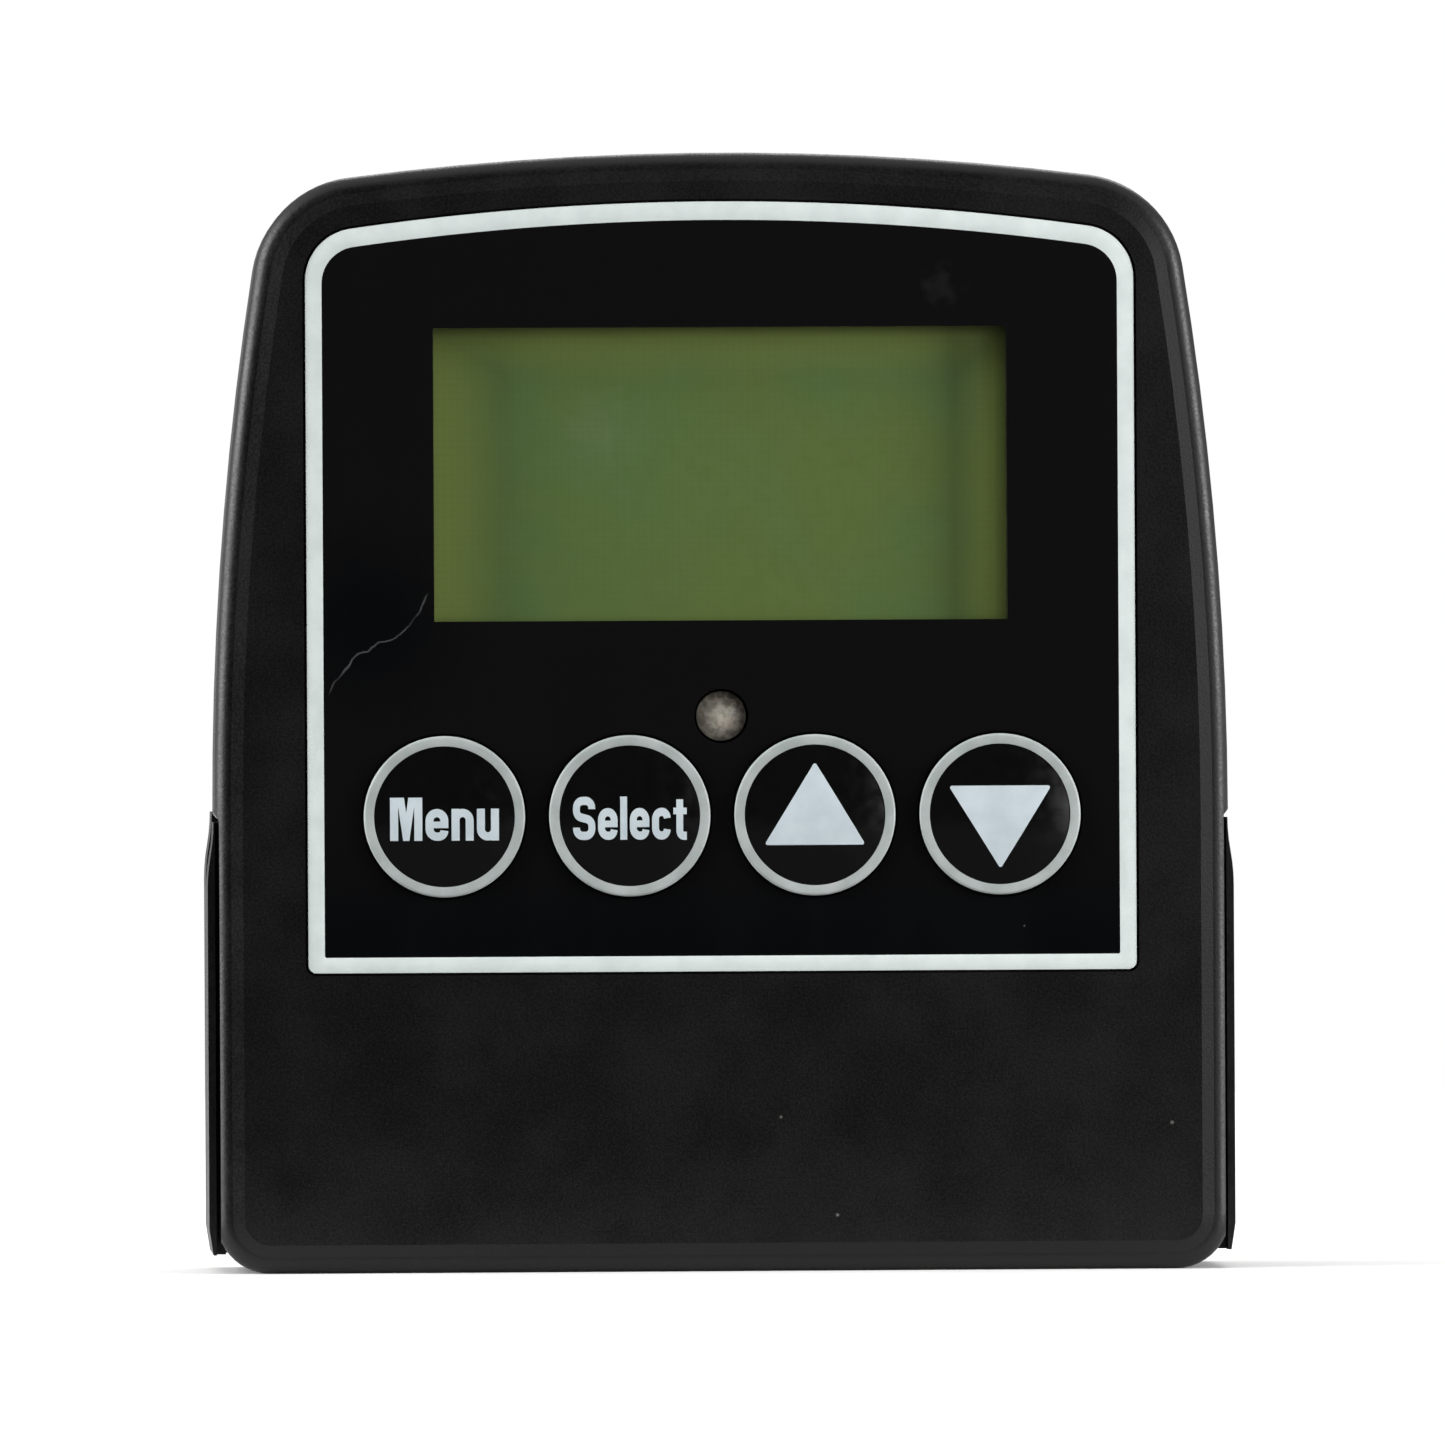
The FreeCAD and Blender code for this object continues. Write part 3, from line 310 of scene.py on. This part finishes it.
def window_clear(name):
    """Clear acrylic pane: it mirrors by its angle and lets the rest of the light through."""
    look = Look(name)
    look.tree.nodes.remove(look.shader)
    clear = look.node("ShaderNodeBsdfTransparent")
    look.put(clear.inputs["Color"], (0.97, 0.98, 0.97))
    gloss = look.node("ShaderNodeBsdfGlossy")
    look.put(gloss.inputs["Roughness"], look.vary(look.noise(3.0, 4.0, (1, 1, 0.4)), 0.03, 0.09))
    fresnel = look.node("ShaderNodeFresnel")
    fresnel.inputs["IOR"].default_value = 1.45
    outside = look.math("SUBTRACT", 1.0, look.node("ShaderNodeNewGeometry").outputs["Backfacing"])
    both = look.node("ShaderNodeMixShader")
    look.join(look.product(fresnel.outputs[0], outside), both.inputs[0])
    look.join(clear.outputs[0], both.inputs[1])
    look.join(gloss.outputs[0], both.inputs[2])
    look.join(both.outputs[0], look.out.inputs["Surface"])


def lcd_green(name):
    """Reflective display, switched off: olive, with a faint row and column grid. Painted light and shade on
    it:
    brighter and yellower near its edges to lift the recess's shadow, a painted shadow along its right, top
    and bottom edges, a thin painted highlight along its left edge, and a pale spot of painted glare.
    """
    look = Look(name, Specular_IOR_Level=0.5)
    lo, hi = (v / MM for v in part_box("display_window"))
    x, z = look.axis("X"), look.axis("Z")
    away = {"left": look.math("SUBTRACT", x, lo.x), "right": look.math("SUBTRACT", hi.x, x),
            "foot": look.math("SUBTRACT", z, lo.z), "head": look.math("SUBTRACT", hi.z, z)}
    left = look.product(away["left"], 0.65)     # painted rim light: wider at the left, narrower at the foot
    foot = look.math("ADD", away["foot"], 2.6)
    near = look.math("MINIMUM", look.math("MINIMUM", left, away["right"]),
                     look.math("MINIMUM", foot, away["head"]))
    patch = look.span(look.noise(9.0, 2.0, seed=2.0), 0.35, 0.65)
    centre = look.mix(patch, (0.138, 0.198, 0.050), (0.122, 0.200, 0.062))
    # painted reflection: a pale spot of glare on the display
    centre = look.tint(centre, (0.19, 0.24, 0.12), smudge_and_glare(look, -7.4, 51.0, 3.2), 0.3)
    # painted light: within 3.4 mm of the rim the display is brighter and yellower, to lift the recess's
    # shadow
    tone = look.mix(look.span(near, 0.0, 3.4), (0.250, 0.320, 0.080), centre)
    # painted shadow along the right, top and bottom edges, where the window's edge shades the display, and a
    # thin painted highlight along its left edge
    painted_shade, painted_highlight = (0.012, 0.016, 0.006), (0.30, 0.36, 0.16)
    for side, width, share, colour in (("right", 0.8, 0.5, painted_shade), ("head", 0.6, 0.35, painted_shade),
                                       ("left", 0.35, 0.12, painted_highlight), ("foot", 0.4, 0.1, painted_shade)):
        tone = look.mix(look.span(away[side], width, 0.0, 0.0, share), tone, colour)
    pixel_pitch = 0.42
    for along in (x, z):
        seam = look.span(look.wave(along, pixel_pitch), 0.72, 1.0, 0.0, 0.07)
        tone = look.mix(seam, tone, (0.05, 0.07, 0.02))
    look.feed("Base Color", tone)
    look.feed("Roughness", look.vary(look.noise(0.5, 3.0), 0.32, 0.46))
    look.bump(look.noise(0.25, 2.0), 0.003)


def led_lens(name):
    """Milky lens of an unlit lamp: paler over the cup of its die, with that pale patch set down and to the
    left as painted light, and a frosted mottle.
    """
    look = Look(name, Specular_IOR_Level=0.5, Subsurface_Weight=0.25, Subsurface_Scale=0.0006)
    lo, hi = (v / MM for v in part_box("status_led"))
    # painted light: the pale patch is moved down and left of the lens's middle, to its lit lower left
    lit_cup_x, lit_cup_z = (lo.x + hi.x) / 2 - 0.25, (lo.z + hi.z) / 2 - 0.2
    tone = look.mix(look.span(look.distance(lit_cup_x, lit_cup_z), 0.5, 1.6), (0.46, 0.42, 0.35), (0.34, 0.30, 0.25))
    frost = look.span(look.noise(0.4, 4.0), 0.42, 0.60)
    look.feed("Base Color", look.tint(tone, (0.74, 0.68, 0.58), frost, 0.75))
    look.feed("Roughness", look.vary(look.noise(0.2, 2.0), 0.22, 0.40))
    look.bump(look.noise(0.3, 3.0), 0.02)


def light_plastic(name, pale, worn, rough, depth=0.006):
    """Unpainted plastic or film, with flow marks and a fine grain."""
    look = Look(name, Specular_IOR_Level=0.45)
    look.feed("Base Color", look.mix(look.vary(look.noise(4.0, 3.0, (1, 1, 0.4))), pale, worn))
    look.feed("Roughness", look.vary(look.noise(0.4, 2.0), rough - 0.07, rough + 0.07))
    look.bump(look.noise(0.2, 3.0), depth)
    return look


def guide_clear(name):
    """Clear light guide, with a grid of moulded dots in place of the grain."""
    look = light_plastic(name, (0.70, 0.74, 0.72), (0.62, 0.68, 0.66), 0.16)
    look.feed("Transmission Weight", 0.6)
    look.feed("IOR", 1.49)
    look.bump(look.span(look.cells(0.9, spread=0.0), 0.2, 0.3), 0.05)


def rubber(name, dark, pale, rough, pore=0.3, depth=0.02):
    """Silicone or foam, pitted with pores of that size in mm."""
    look = Look(name, Specular_IOR_Level=0.35)
    look.feed("Base Color", look.mix(look.vary(look.noise(pore * 6, 3.0)), dark, pale))
    look.feed("Roughness", look.vary(look.noise(pore, 2.0), rough - 0.08, rough + 0.08))
    look.bump(look.cells(pore), depth)
    return look


def zebra_rubber(name):
    """Dark conductive layers between pale ones, in fine stripes along X."""
    look = rubber(name, (0.05, 0.05, 0.05), (0.07, 0.07, 0.07), 0.6)
    stripe = look.span(look.wave(look.axis("X"), 0.2), -0.2, 0.2)
    look.feed("Base Color", look.mix(stripe, (0.03, 0.03, 0.03), (0.55, 0.54, 0.50)))


def board_laminate(name):
    """Green solder mask over the glass weave, with tracks and tinned pads."""
    look = Look(name, Specular_IOR_Level=0.5)
    x, z = look.axis("X"), look.axis("Z")
    lane_pitch, weave_pitch = 1.27, 0.5
    tone = look.mix(look.noise(6.0, 2.0), (0.008, 0.065, 0.022), (0.012, 0.085, 0.030))
    lanes = look.span(look.wave(z, lane_pitch), 0.45, 0.55)
    tracks = look.product(lanes, look.span(look.cells(5.0), 0.35, 0.45))
    tone = look.tint(tone, (0.022, 0.15, 0.055), tracks, 0.8)
    pads = look.specks(1.9, 0.35, 0.22)
    look.feed("Base Color", look.mix(pads, tone, (0.55, 0.54, 0.50)))
    look.feed("Metallic", pads)
    look.feed("Roughness", look.vary(look.noise(0.5, 2.0), 0.22, 0.38))
    weave = look.product(look.wave(x, weave_pitch), look.wave(z, weave_pitch))
    look.bump(look.math("ADD", look.product(tracks, 2.0), look.product(weave, 0.3)), 0.012)


def metal(name, bright, dull, rough, stretch=(1, 1, 1), stain=3.0):
    """Bare or plated metal with fine rubbed lines and faint staining."""
    look = Look(name, Metallic=1.0)
    look.feed("Base Color", look.mix(look.span(look.noise(stain, 4.0), 0.35, 0.7), bright, dull))
    lines = look.noise(0.12, 3.0, stretch, 2.0)
    look.feed("Roughness", look.vary(lines, rough - 0.08, rough + 0.10))
    look.bump(lines, 0.004)


def cell_sleeve(name):
    """Plain blue shrink film on the cell, with bare steel at both ends."""
    look = Look(name, Specular_IOR_Level=0.5)
    lo, hi = (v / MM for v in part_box("battery_cell"))
    x = look.axis("X")
    cap_end, foot_end = hi.x - 1.2, lo.x + 0.5
    film = look.mix(look.noise(5.0, 3.0), (0.045, 0.085, 0.16), (0.060, 0.105, 0.19))
    steel = look.math("ADD", look.math("GREATER_THAN", x, cap_end), look.math("LESS_THAN", x, foot_end))
    look.feed("Base Color", look.mix(steel, film, (0.62, 0.62, 0.60)))
    look.feed("Metallic", steel)
    look.feed("Roughness", look.vary(look.noise(0.6, 3.0), 0.22, 0.36))
    look.bump(look.noise(1.2, 3.0, (0.3, 1, 1)), 0.01)


MATERIALS = {
    "case_plastic": case_plastic,
    "holster_plastic": holster_plastic,
    "panel_print": panel_print,
    "window_clear": window_clear,
    "key_plastic": key_plastic,
    "lcd_green": lcd_green,
    "led_lens": led_lens,
    "guide_clear": guide_clear,
    "zebra_rubber": zebra_rubber,
    "board_laminate": board_laminate,
    "cell_sleeve": cell_sleeve,
    "frame_white": lambda n: light_plastic(n, (0.72, 0.72, 0.70), (0.64, 0.64, 0.61), 0.45),
    "silicone": lambda n: rubber(n, (0.20, 0.20, 0.20), (0.26, 0.26, 0.25), 0.55, 0.25),
    "foam": lambda n: rubber(n, (0.018, 0.018, 0.018), (0.035, 0.035, 0.034), 0.9, 0.35, 0.12),
    "chip_epoxy": lambda n: light_plastic(n, (0.016, 0.016, 0.017), (0.024, 0.024, 0.024), 0.48, 0.012),
    "connector_plastic": lambda n: light_plastic(n, (0.030, 0.030, 0.031), (0.042, 0.042, 0.042), 0.40),
    "chip_ceramic": lambda n: light_plastic(n, (0.36, 0.29, 0.20), (0.28, 0.22, 0.15), 0.40, 0.010),
    "buzzer_plastic": lambda n: light_plastic(n, (0.022, 0.022, 0.023), (0.034, 0.034, 0.033), 0.50, 0.010),
    "tin_plate": lambda n: metal(n, (0.72, 0.72, 0.70), (0.58, 0.58, 0.56), 0.30, (1, 1, 0.12)),
    "spring_steel": lambda n: metal(n, (0.60, 0.59, 0.57), (0.48, 0.46, 0.43), 0.26, (0.2, 1, 1), 1.2),
    "copper_strip": lambda n: metal(n, (0.80, 0.42, 0.26), (0.60, 0.28, 0.16), 0.28, (0.12, 1, 1)),
    "motor_steel": lambda n: metal(n, (0.64, 0.64, 0.63), (0.52, 0.52, 0.50), 0.24, (0.15, 1, 1)),
    "tungsten": lambda n: metal(n, (0.40, 0.39, 0.37), (0.30, 0.29, 0.28), 0.42, (1, 1, 1), 1.0),
    "screw_steel": lambda n: metal(n, (0.34, 0.34, 0.34), (0.22, 0.22, 0.22), 0.34, (1, 0.3, 1), 1.2),
}


# ================================================================ printed marks
def new_piece(name, mesh, body, material):
    """A piece of that mesh, which rides on the body and takes its finish from the slot."""
    piece = bpy.data.objects.new(name, mesh)
    bpy.context.scene.collection.objects.link(piece)
    mesh.materials.append(bpy.data.materials[material])
    mesh.set_sharp_from_angle(angle=math.radians(35))
    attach(piece, body)


def ring_mesh(name, loops):
    """Closed band through loops of points, each loop and the row of loops closed on themselves."""
    mesh = bpy.data.meshes.new(name)
    count = len(loops[0])
    verts = [p for loop in loops for p in loop]
    faces = []
    for i in range(len(loops)):
        a, b = i * count, (i + 1) % len(loops) * count
        faces += [(a + j, a + (j + 1) % count, b + (j + 1) % count, b + j) for j in range(count)]
    mesh.from_pydata(verts, [], faces)
    bm = bmesh.new()
    bm.from_mesh(mesh)
    bmesh.ops.recalc_face_normals(bm, faces=bm.faces)
    for face in bm.faces:
        face.smooth = True
    bm.to_mesh(mesh)
    bm.free()
    return mesh


def arc(cx, cz, r, start, end, count):
    """Points on an arc, angles in degrees from +X."""
    angles = [math.radians(start + (end - start) * i / (count - 1)) for i in range(count)]
    return [(cx + r * math.cos(a), cz + r * math.sin(a)) for a in angles]


def panel_outline(half, foot, crown, top_r, corner_r, foot_r):
    """Outline of the panel's shape, as (x, z) in mm: crowned head, square foot."""
    top_z = crown - top_r
    cx = half - corner_r
    cz = top_z + math.sqrt((top_r - corner_r) ** 2 - cx ** 2)
    lean = math.degrees(math.atan2(cz - top_z, cx))
    right = arc(half - foot_r, foot + foot_r, foot_r, -90, 0, count=6)
    right += arc(cx, cz, corner_r, 0, lean, count=16)
    head = arc(0, top_z, top_r, lean, 180 - lean, count=60)[1:-1]
    return right + head + [(-x, z) for x, z in reversed(right)]


def border_line():
    """White line round the panel, a closed band of ink that thins out at both edges."""
    lo, hi = (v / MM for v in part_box("panel_overlay"))

    def loop(share, lift):
        """Outline between the line's outer edge (share 0) and its inner edge (share 1)."""
        points = panel_outline(hi.x - LINE_INSET - share * LINE_SIDE, lo.z + LINE_INSET + share * LINE_FOOT,
                               hi.z - LINE_INSET - share * LINE_HEAD, PANEL_TOP_R - share * LINE_HEAD,
                               LINE_CORNER_R - share * LINE_CORNER_LESS, LINE_FOOT_R - share * LINE_FOOT_LESS)
        return [(x * MM, (lo.y - lift) * MM, z * MM) for x, z in points]

    steps = ((0.0, -INK_ROOT), (0.0, INK_T / 2), (LINE_THIN, INK_T),
             (1 - LINE_THIN, INK_T), (1.0, INK_T / 2), (1.0, -INK_ROOT))
    mesh = ring_mesh("border_line", [loop(*s) for s in steps])
    new_piece("border_line", mesh, "pager", "border_ink")


def key_place(key):
    """Centre of a key's face and the y of its crown, in mm."""
    lo, hi = (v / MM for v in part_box(key))
    return (lo.x + hi.x) / 2, (lo.z + hi.z) / 2, lo.y


def mark_name(kind, key):
    """ring_menu for the ring on key_menu, and so on."""
    return key.replace("key", kind)


def key_ring(key):
    """Printed ring on a key's rim, which wraps over the rim's rounded edge."""
    cx, cz, crown_y = key_place(key)
    rim_y = crown_y + KEY_DOME
    centre_r, fillet = KEY_R - KEY_RIM_FILLET, KEY_RIM_FILLET
    over = [(RING_IN_R, -INK_T * 0.4), (RING_IN_R + RING_THIN, -INK_T), (centre_r, -INK_T)]
    under = [(centre_r, INK_ROOT), (RING_IN_R, INK_ROOT)]
    for i in range(1, WRAP_STEPS + 1):
        angle = math.radians(WRAP_ANGLE / WRAP_STEPS * i)
        outer, inner = fillet + INK_T, fillet - INK_ROOT
        over.append((centre_r + outer * math.sin(angle), fillet - outer * math.cos(angle)))
        under.insert(0, (centre_r + inner * math.sin(angle), fillet - inner * math.cos(angle)))
    loops = []
    for r, dy in over + under:
        circle = arc(0, 0, r, 0, 360, RING_SIDES + 1)[:-1]
        loops.append([((cx + x) * MM, (rim_y + dy) * MM, (cz + z) * MM) for x, z in circle])
    name = mark_name("ring", key)
    new_piece(name, ring_mesh(name, loops), KEY_BODIES[key], "ring_ink")


def wrap(bm, key):
    """Cuts a flat mark (x, z, and y above 0 for its face) into cells, and lays it on the key's crown."""
    cx, cz, crown_y = key_place(key)
    dome_r = (KEY_CROWN_R ** 2 + KEY_DOME ** 2) / (2 * KEY_DOME)
    nearness = 1e-5
    for axis in (Vector((1, 0, 0)), Vector((0, 0, 1))):
        steps = int(KEY_CROWN_R / CELL) + 1
        for i in range(-steps, steps + 1):
            geometry = bm.verts[:] + bm.edges[:] + bm.faces[:]
            bmesh.ops.bisect_plane(bm, geom=geometry, dist=nearness,
                                   plane_co=axis * (i * CELL), plane_no=axis)
    for v in bm.verts:
        x, z = v.co.x, v.co.z
        drop = dome_r - math.sqrt(dome_r ** 2 - x * x - z * z)
        lift = INK_T if v.co.y > 0 else -INK_ROOT
        v.co = Vector((cx + x, crown_y + drop - lift, cz + z)) * MM
    bmesh.ops.recalc_face_normals(bm, faces=bm.faces)
    for face in bm.faces:
        face.smooth = True


def corner_arc(before, corner, after, radius, count=7):
    """Points of the arc that rounds the corner between two straight runs."""
    corner = Vector(corner)
    u, v = Vector(before) - corner, Vector(after) - corner
    half = u.angle(v) / 2
    r = min(radius, min(u.length, v.length) * math.tan(half))
    u.normalize()
    v.normalize()
    centre = corner + (u + v).normalized() * r / math.sin(half)
    start, end = corner + u * r / math.tan(half) - centre, corner + v * r / math.tan(half) - centre
    return [centre + start.slerp(end, j / (count - 1)).normalized() * r for j in range(count)]


def ribbon(points, radius, width=STROKE):
    """Outline of a stroke of even width along straight runs with rounded corners."""
    path = [Vector(points[0])]
    for before, corner, after in zip(points, points[1:], points[2:]):
        path += corner_arc(before, corner, after, radius)
    path.append(Vector(points[-1]))
    path = path[:1] + [p for last, p in zip(path, path[1:]) if (p - last).length > 1e-4]
    left, right = [], []
    for before, p, after in zip(path[:1] + path, path, path[1:] + path[-1:]):
        run = (after - before).normalized()
        side = Vector((-run.y, run.x)) * width / 2
        left.append(p + side)
        right.append(p - side)
    return left + right[::-1]


def block(x0, x1, z0, z1):
    return [Vector(p) for p in ((x0, z0), (x1, z0), (x1, z1), (x0, z1))]


def letter_m():
    """Two stems and a vee that reaches the baseline."""
    width, foot, lean, fork = 2.0, 0.19, 0.44, 0.8 * CAP_HEIGHT
    slope = (width / 2 - foot - STROKE) / fork
    shoulder = width / 2 - foot + lean - slope * CAP_HEIGHT
    left = [(width / 2 - foot, 0), (STROKE, fork), (STROKE, 0), (0, 0), (0, CAP_HEIGHT),
            (shoulder, CAP_HEIGHT)]
    notch = (width / 2, (lean - foot) / slope)
    right = [(width - x, z) for x, z in reversed(left)]
    return width, [[Vector(p) for p in left + [notch] + right]]


def bowl(width, start, end):
    """Open bowl of c and e, from its upper end at height start round to its lower end."""
    x0, x1 = STROKE / 2, width - STROKE / 2
    z0, z1 = STROKE / 2, SMALL_HEIGHT - STROKE / 2
    return ribbon([(x1, start), (x1, z1), (x0, z1), (x0, z0), (x1, z0), (x1, end)], (x1 - x0) / 2)


def letter_c():
    width, reach = 1.36, STROKE / 2 + 0.38
    return width, [bowl(width, SMALL_HEIGHT - reach, reach)]


def letter_e():
    width, bar, reach = 1.42, 0.8 * STROKE, STROKE / 2 + 0.36
    middle = SMALL_HEIGHT / 2
    cross = block(STROKE / 2, width - STROKE / 2, middle - bar / 2, middle + bar / 2)
    return width, [cross, bowl(width, middle - bar / 2, reach)]


def letter_n():
    width = 1.38
    x0, x1, z1 = STROKE / 2, width - STROKE / 2, SMALL_HEIGHT - STROKE / 2
    arch = ribbon([(x0, SMALL_HEIGHT / 2), (x0, z1), (x1, z1), (x1, 0)], (x1 - x0) / 2)
    return width, [block(0, STROKE, 0, SMALL_HEIGHT), arch]


def letter_u():
    width, shapes = letter_n()
    return width, [[Vector((width, SMALL_HEIGHT)) - p for p in shape] for shape in shapes]


def letter_s():
    width, tail, tilt, bend = 1.62, 0.5, 0.12, 0.44
    x0, x1, z0, z1 = STROKE / 2, width - STROKE / 2, STROKE / 2, CAP_HEIGHT - STROKE / 2
    middle = CAP_HEIGHT / 2
    spine = [(x1, z1 - tail), (x1, z1), (x0, z1), (x0, middle + tilt),
             (x1, middle - tilt), (x1, z0), (x0, z0), (x0, z0 + tail)]
    return width, [ribbon(spine, bend)]


def letter_l():
    return STROKE, [block(0, STROKE, 0, CAP_HEIGHT)]


def letter_t():
    width, stem, foot, head, bend = 0.98, 0.22 + STROKE / 2, 0.45 * STROKE, 0.93 * CAP_HEIGHT, 0.3
    bar = block(0, width, SMALL_HEIGHT - 0.8 * STROKE, SMALL_HEIGHT)
    return width, [ribbon([(stem, head), (stem, foot), (width, foot)], bend), bar]


LETTERS = {"M": letter_m, "c": letter_c, "e": letter_e, "n": letter_n, "u": letter_u, "S": letter_s,
           "l": letter_l, "t": letter_t}


def flat_mark(shapes):
    """Slab over the union of flat outlines."""
    points, faces = [], []
    for shape in shapes:
        area = sum(a.x * b.y - b.x * a.y for a, b in zip(shape, shape[1:] + shape[:1]))
        ring = list(range(len(points), len(points) + len(shape)))
        faces.append(ring if area > 0 else ring[::-1])
        points += shape
    inside_only, nearness, side = 1, 1e-5, 0.1
    corners, _, triangles, _, _, sources = delaunay_2d_cdt(points, [], faces, inside_only, nearness)
    bm = bmesh.new()
    front = [bm.verts.new((p.x, side, p.y)) for p in corners]
    back = [bm.verts.new((p.x, -side, p.y)) for p in corners]
    covered = [t for t, source in zip(triangles, sources) if source]
    edges = {pair for t in covered for pair in zip(t, t[1:] + t[:1])}
    for t in covered:
        bm.faces.new([front[i] for i in t])
        bm.faces.new([back[i] for i in reversed(t)])
    for i, j in edges:
        if (j, i) not in edges:
            bm.faces.new((front[j], front[i], back[i], back[j]))
    bmesh.ops.delete(bm, geom=[v for v in bm.verts if not v.link_faces])
    return bm


def key_mark(name, key, shapes):
    """Printed mark on a key's crown, from flat outlines in mm round the key's centre."""
    bm = flat_mark(shapes)
    wrap(bm, key)
    mesh = bpy.data.meshes.new(name)
    bm.to_mesh(mesh)
    bm.free()
    new_piece(name, mesh, KEY_BODIES[key], "legend_ink")


def legend(key):
    """Word on a key, in bold narrow letters."""
    word, width = LEGENDS[key]
    shapes, x = [], 0.0
    for character in word:
        wide, parts = LETTERS[character]()
        shapes += [[p + Vector((x, 0)) for p in part] for part in parts]
        x += wide + LETTER_GAP
    natural = x - LETTER_GAP
    placed = [[Vector(((p.x / natural - 0.5) * width, p.y + BASELINE)) for p in shape] for shape in shapes]
    key_mark(mark_name("legend", key), key, placed)


def arrow(key):
    """Solid triangle on a key."""
    points = list(ARROWS[key])
    corners = zip(points[-1:] + points, points, points[1:] + points[:1])
    outline = [p for before, corner, after in corners
               for p in corner_arc(before, corner, after, ARROW_CORNER_R, 5)]
    key_mark(mark_name("arrow", key), key, [outline])


# ================================================================ stage
def floor_look():
    """Matt white paper that throws little light back from in front of the object."""
    look = Look("floor_paper", Specular_IOR_Level=0.2)
    tone = look.mix(look.noise(40.0, 3.0), (0.93, 0.93, 0.925), (0.95, 0.95, 0.945))
    away = look.span(look.axis("Y"), -10.0, -32.0)
    unseen = look.math("SUBTRACT", 1.0, look.node("ShaderNodeLightPath").outputs["Is Camera Ray"])
    # painted shade: in front of the object the floor is near black to every ray but the camera's, so that
    # little light comes back from there
    look.feed("Base Color", look.mix(look.product(away, unseen), tone, (0.05, 0.05, 0.05)))
    look.feed("Roughness", look.vary(look.noise(2.0, 2.0), 0.75, 0.9))
    look.bump(look.noise(0.8, 3.0), 0.01)


def floor():
    mesh = bpy.data.meshes.new("floor")
    corners = [(FLOOR_HALF * x, FLOOR_HALF * y, 0) for x, y in ((-1, -1), (1, -1), (1, 1), (-1, 1))]
    mesh.from_pydata(corners, [], [(0, 1, 2, 3)])
    mesh.materials.append(bpy.data.materials["floor_paper"])
    sheet = bpy.data.objects.new("floor", mesh)
    bpy.context.scene.collection.objects.link(sheet)


def soft_box(name, place, size, power):
    """Rectangular lamp that faces the middle of the object and isn't itself in the picture."""
    lamp = bpy.data.lights.new(name, "AREA")
    lamp.shape = "RECTANGLE"
    lamp.size, lamp.size_y = size
    lamp.energy = power
    shown = bpy.data.objects.new(name, lamp)
    shown.location = place
    shown.rotation_mode = "QUATERNION"
    shown.rotation_quaternion = (Vector(LAMP_AIM) - Vector(place)).to_track_quat("-Z", "Y")
    shown.visible_camera = False
    bpy.context.scene.collection.objects.link(shown)


def world_light():
    """Even pale surroundings, darker straight in front of the object, and plain white as a backdrop."""
    world = bpy.data.worlds.new("studio")
    world.use_nodes = True
    bpy.context.scene.world = world
    sky = Nodes(world.node_tree)
    towards = sky.node("ShaderNodeSeparateXYZ")
    sky.join(sky.node("ShaderNodeTexCoord").outputs["Generated"], towards.inputs[0])
    x, y = towards.outputs["X"], towards.outputs["Y"]
    dark_cone, full_cone = (-math.cos(math.radians(angle)) for angle in (28, 68))   # round straight ahead
    front = sky.span(y, dark_cone, full_cone, 0.02, 1.0)
    side = sky.span(x, -0.8, 0.8, 1.3, 0.8)
    back = sky.span(y, 0.1, 0.8, 1.0, 0.45)
    strength = sky.node("ShaderNodeMix", data_type="FLOAT")
    sky.join(sky.node("ShaderNodeLightPath").outputs["Is Camera Ray"], strength.inputs[0])
    sky.join(sky.product(front, side, back), strength.inputs[2])
    strength.inputs[3].default_value = 1.0
    surround = sky.node("ShaderNodeBackground")
    sky.put(surround.inputs["Color"], (1, 1, 1))
    sky.join(strength.outputs[0], surround.inputs["Strength"])
    sky.join(surround.outputs[0], sky.node("ShaderNodeOutputWorld").inputs["Surface"])


def camera(front_y):
    """Long lens, aimed at the front face, whose y is given."""
    aim = Vector((CAMERA_AIM[0] * MM, front_y, CAMERA_AIM[1] * MM))
    azimuth = math.radians(CAMERA_AZIMUTH)
    back = Vector((math.sin(azimuth), -math.cos(azimuth), 0))
    data = bpy.data.cameras.new("camera")
    data.sensor_width = SENSOR
    data.lens = SENSOR * CAMERA_DISTANCE / (VIEW_WIDTH * MM)
    data.clip_start, data.clip_end = 0.05, 20.0
    shown = bpy.data.objects.new("camera", data)
    shown.location = aim + back * CAMERA_DISTANCE
    shown.rotation_mode = "QUATERNION"
    roll = Quaternion((0, 0, 1), math.radians(CAMERA_ROLL))
    shown.rotation_quaternion = (-back).to_track_quat("-Z", "Y") @ roll
    bpy.context.scene.collection.objects.link(shown)
    bpy.context.scene.camera = shown


# ================================================================ build
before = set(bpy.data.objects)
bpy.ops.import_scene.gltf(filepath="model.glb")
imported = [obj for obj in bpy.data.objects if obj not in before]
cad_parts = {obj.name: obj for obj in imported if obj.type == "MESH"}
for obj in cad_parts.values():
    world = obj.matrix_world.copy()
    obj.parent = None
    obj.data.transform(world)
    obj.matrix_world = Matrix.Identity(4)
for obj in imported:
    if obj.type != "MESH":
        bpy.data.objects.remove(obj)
cad_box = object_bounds()

for slot, make in MATERIALS.items():
    make(slot)
for name, (pale, worn) in INKS.items():
    ink(name, pale, worn)
floor_look()

border_line()
for key in KEY_BODIES:
    key_ring(key)
for key in LEGENDS:
    legend(key)
for key in ARROWS:
    arrow(key)

floor()
for name, (place, size, power) in LAMPS.items():
    soft_box(name, place, size, power)
world_light()
camera(cad_box[0].y)
bpy.context.scene.view_settings.view_transform = "Standard"
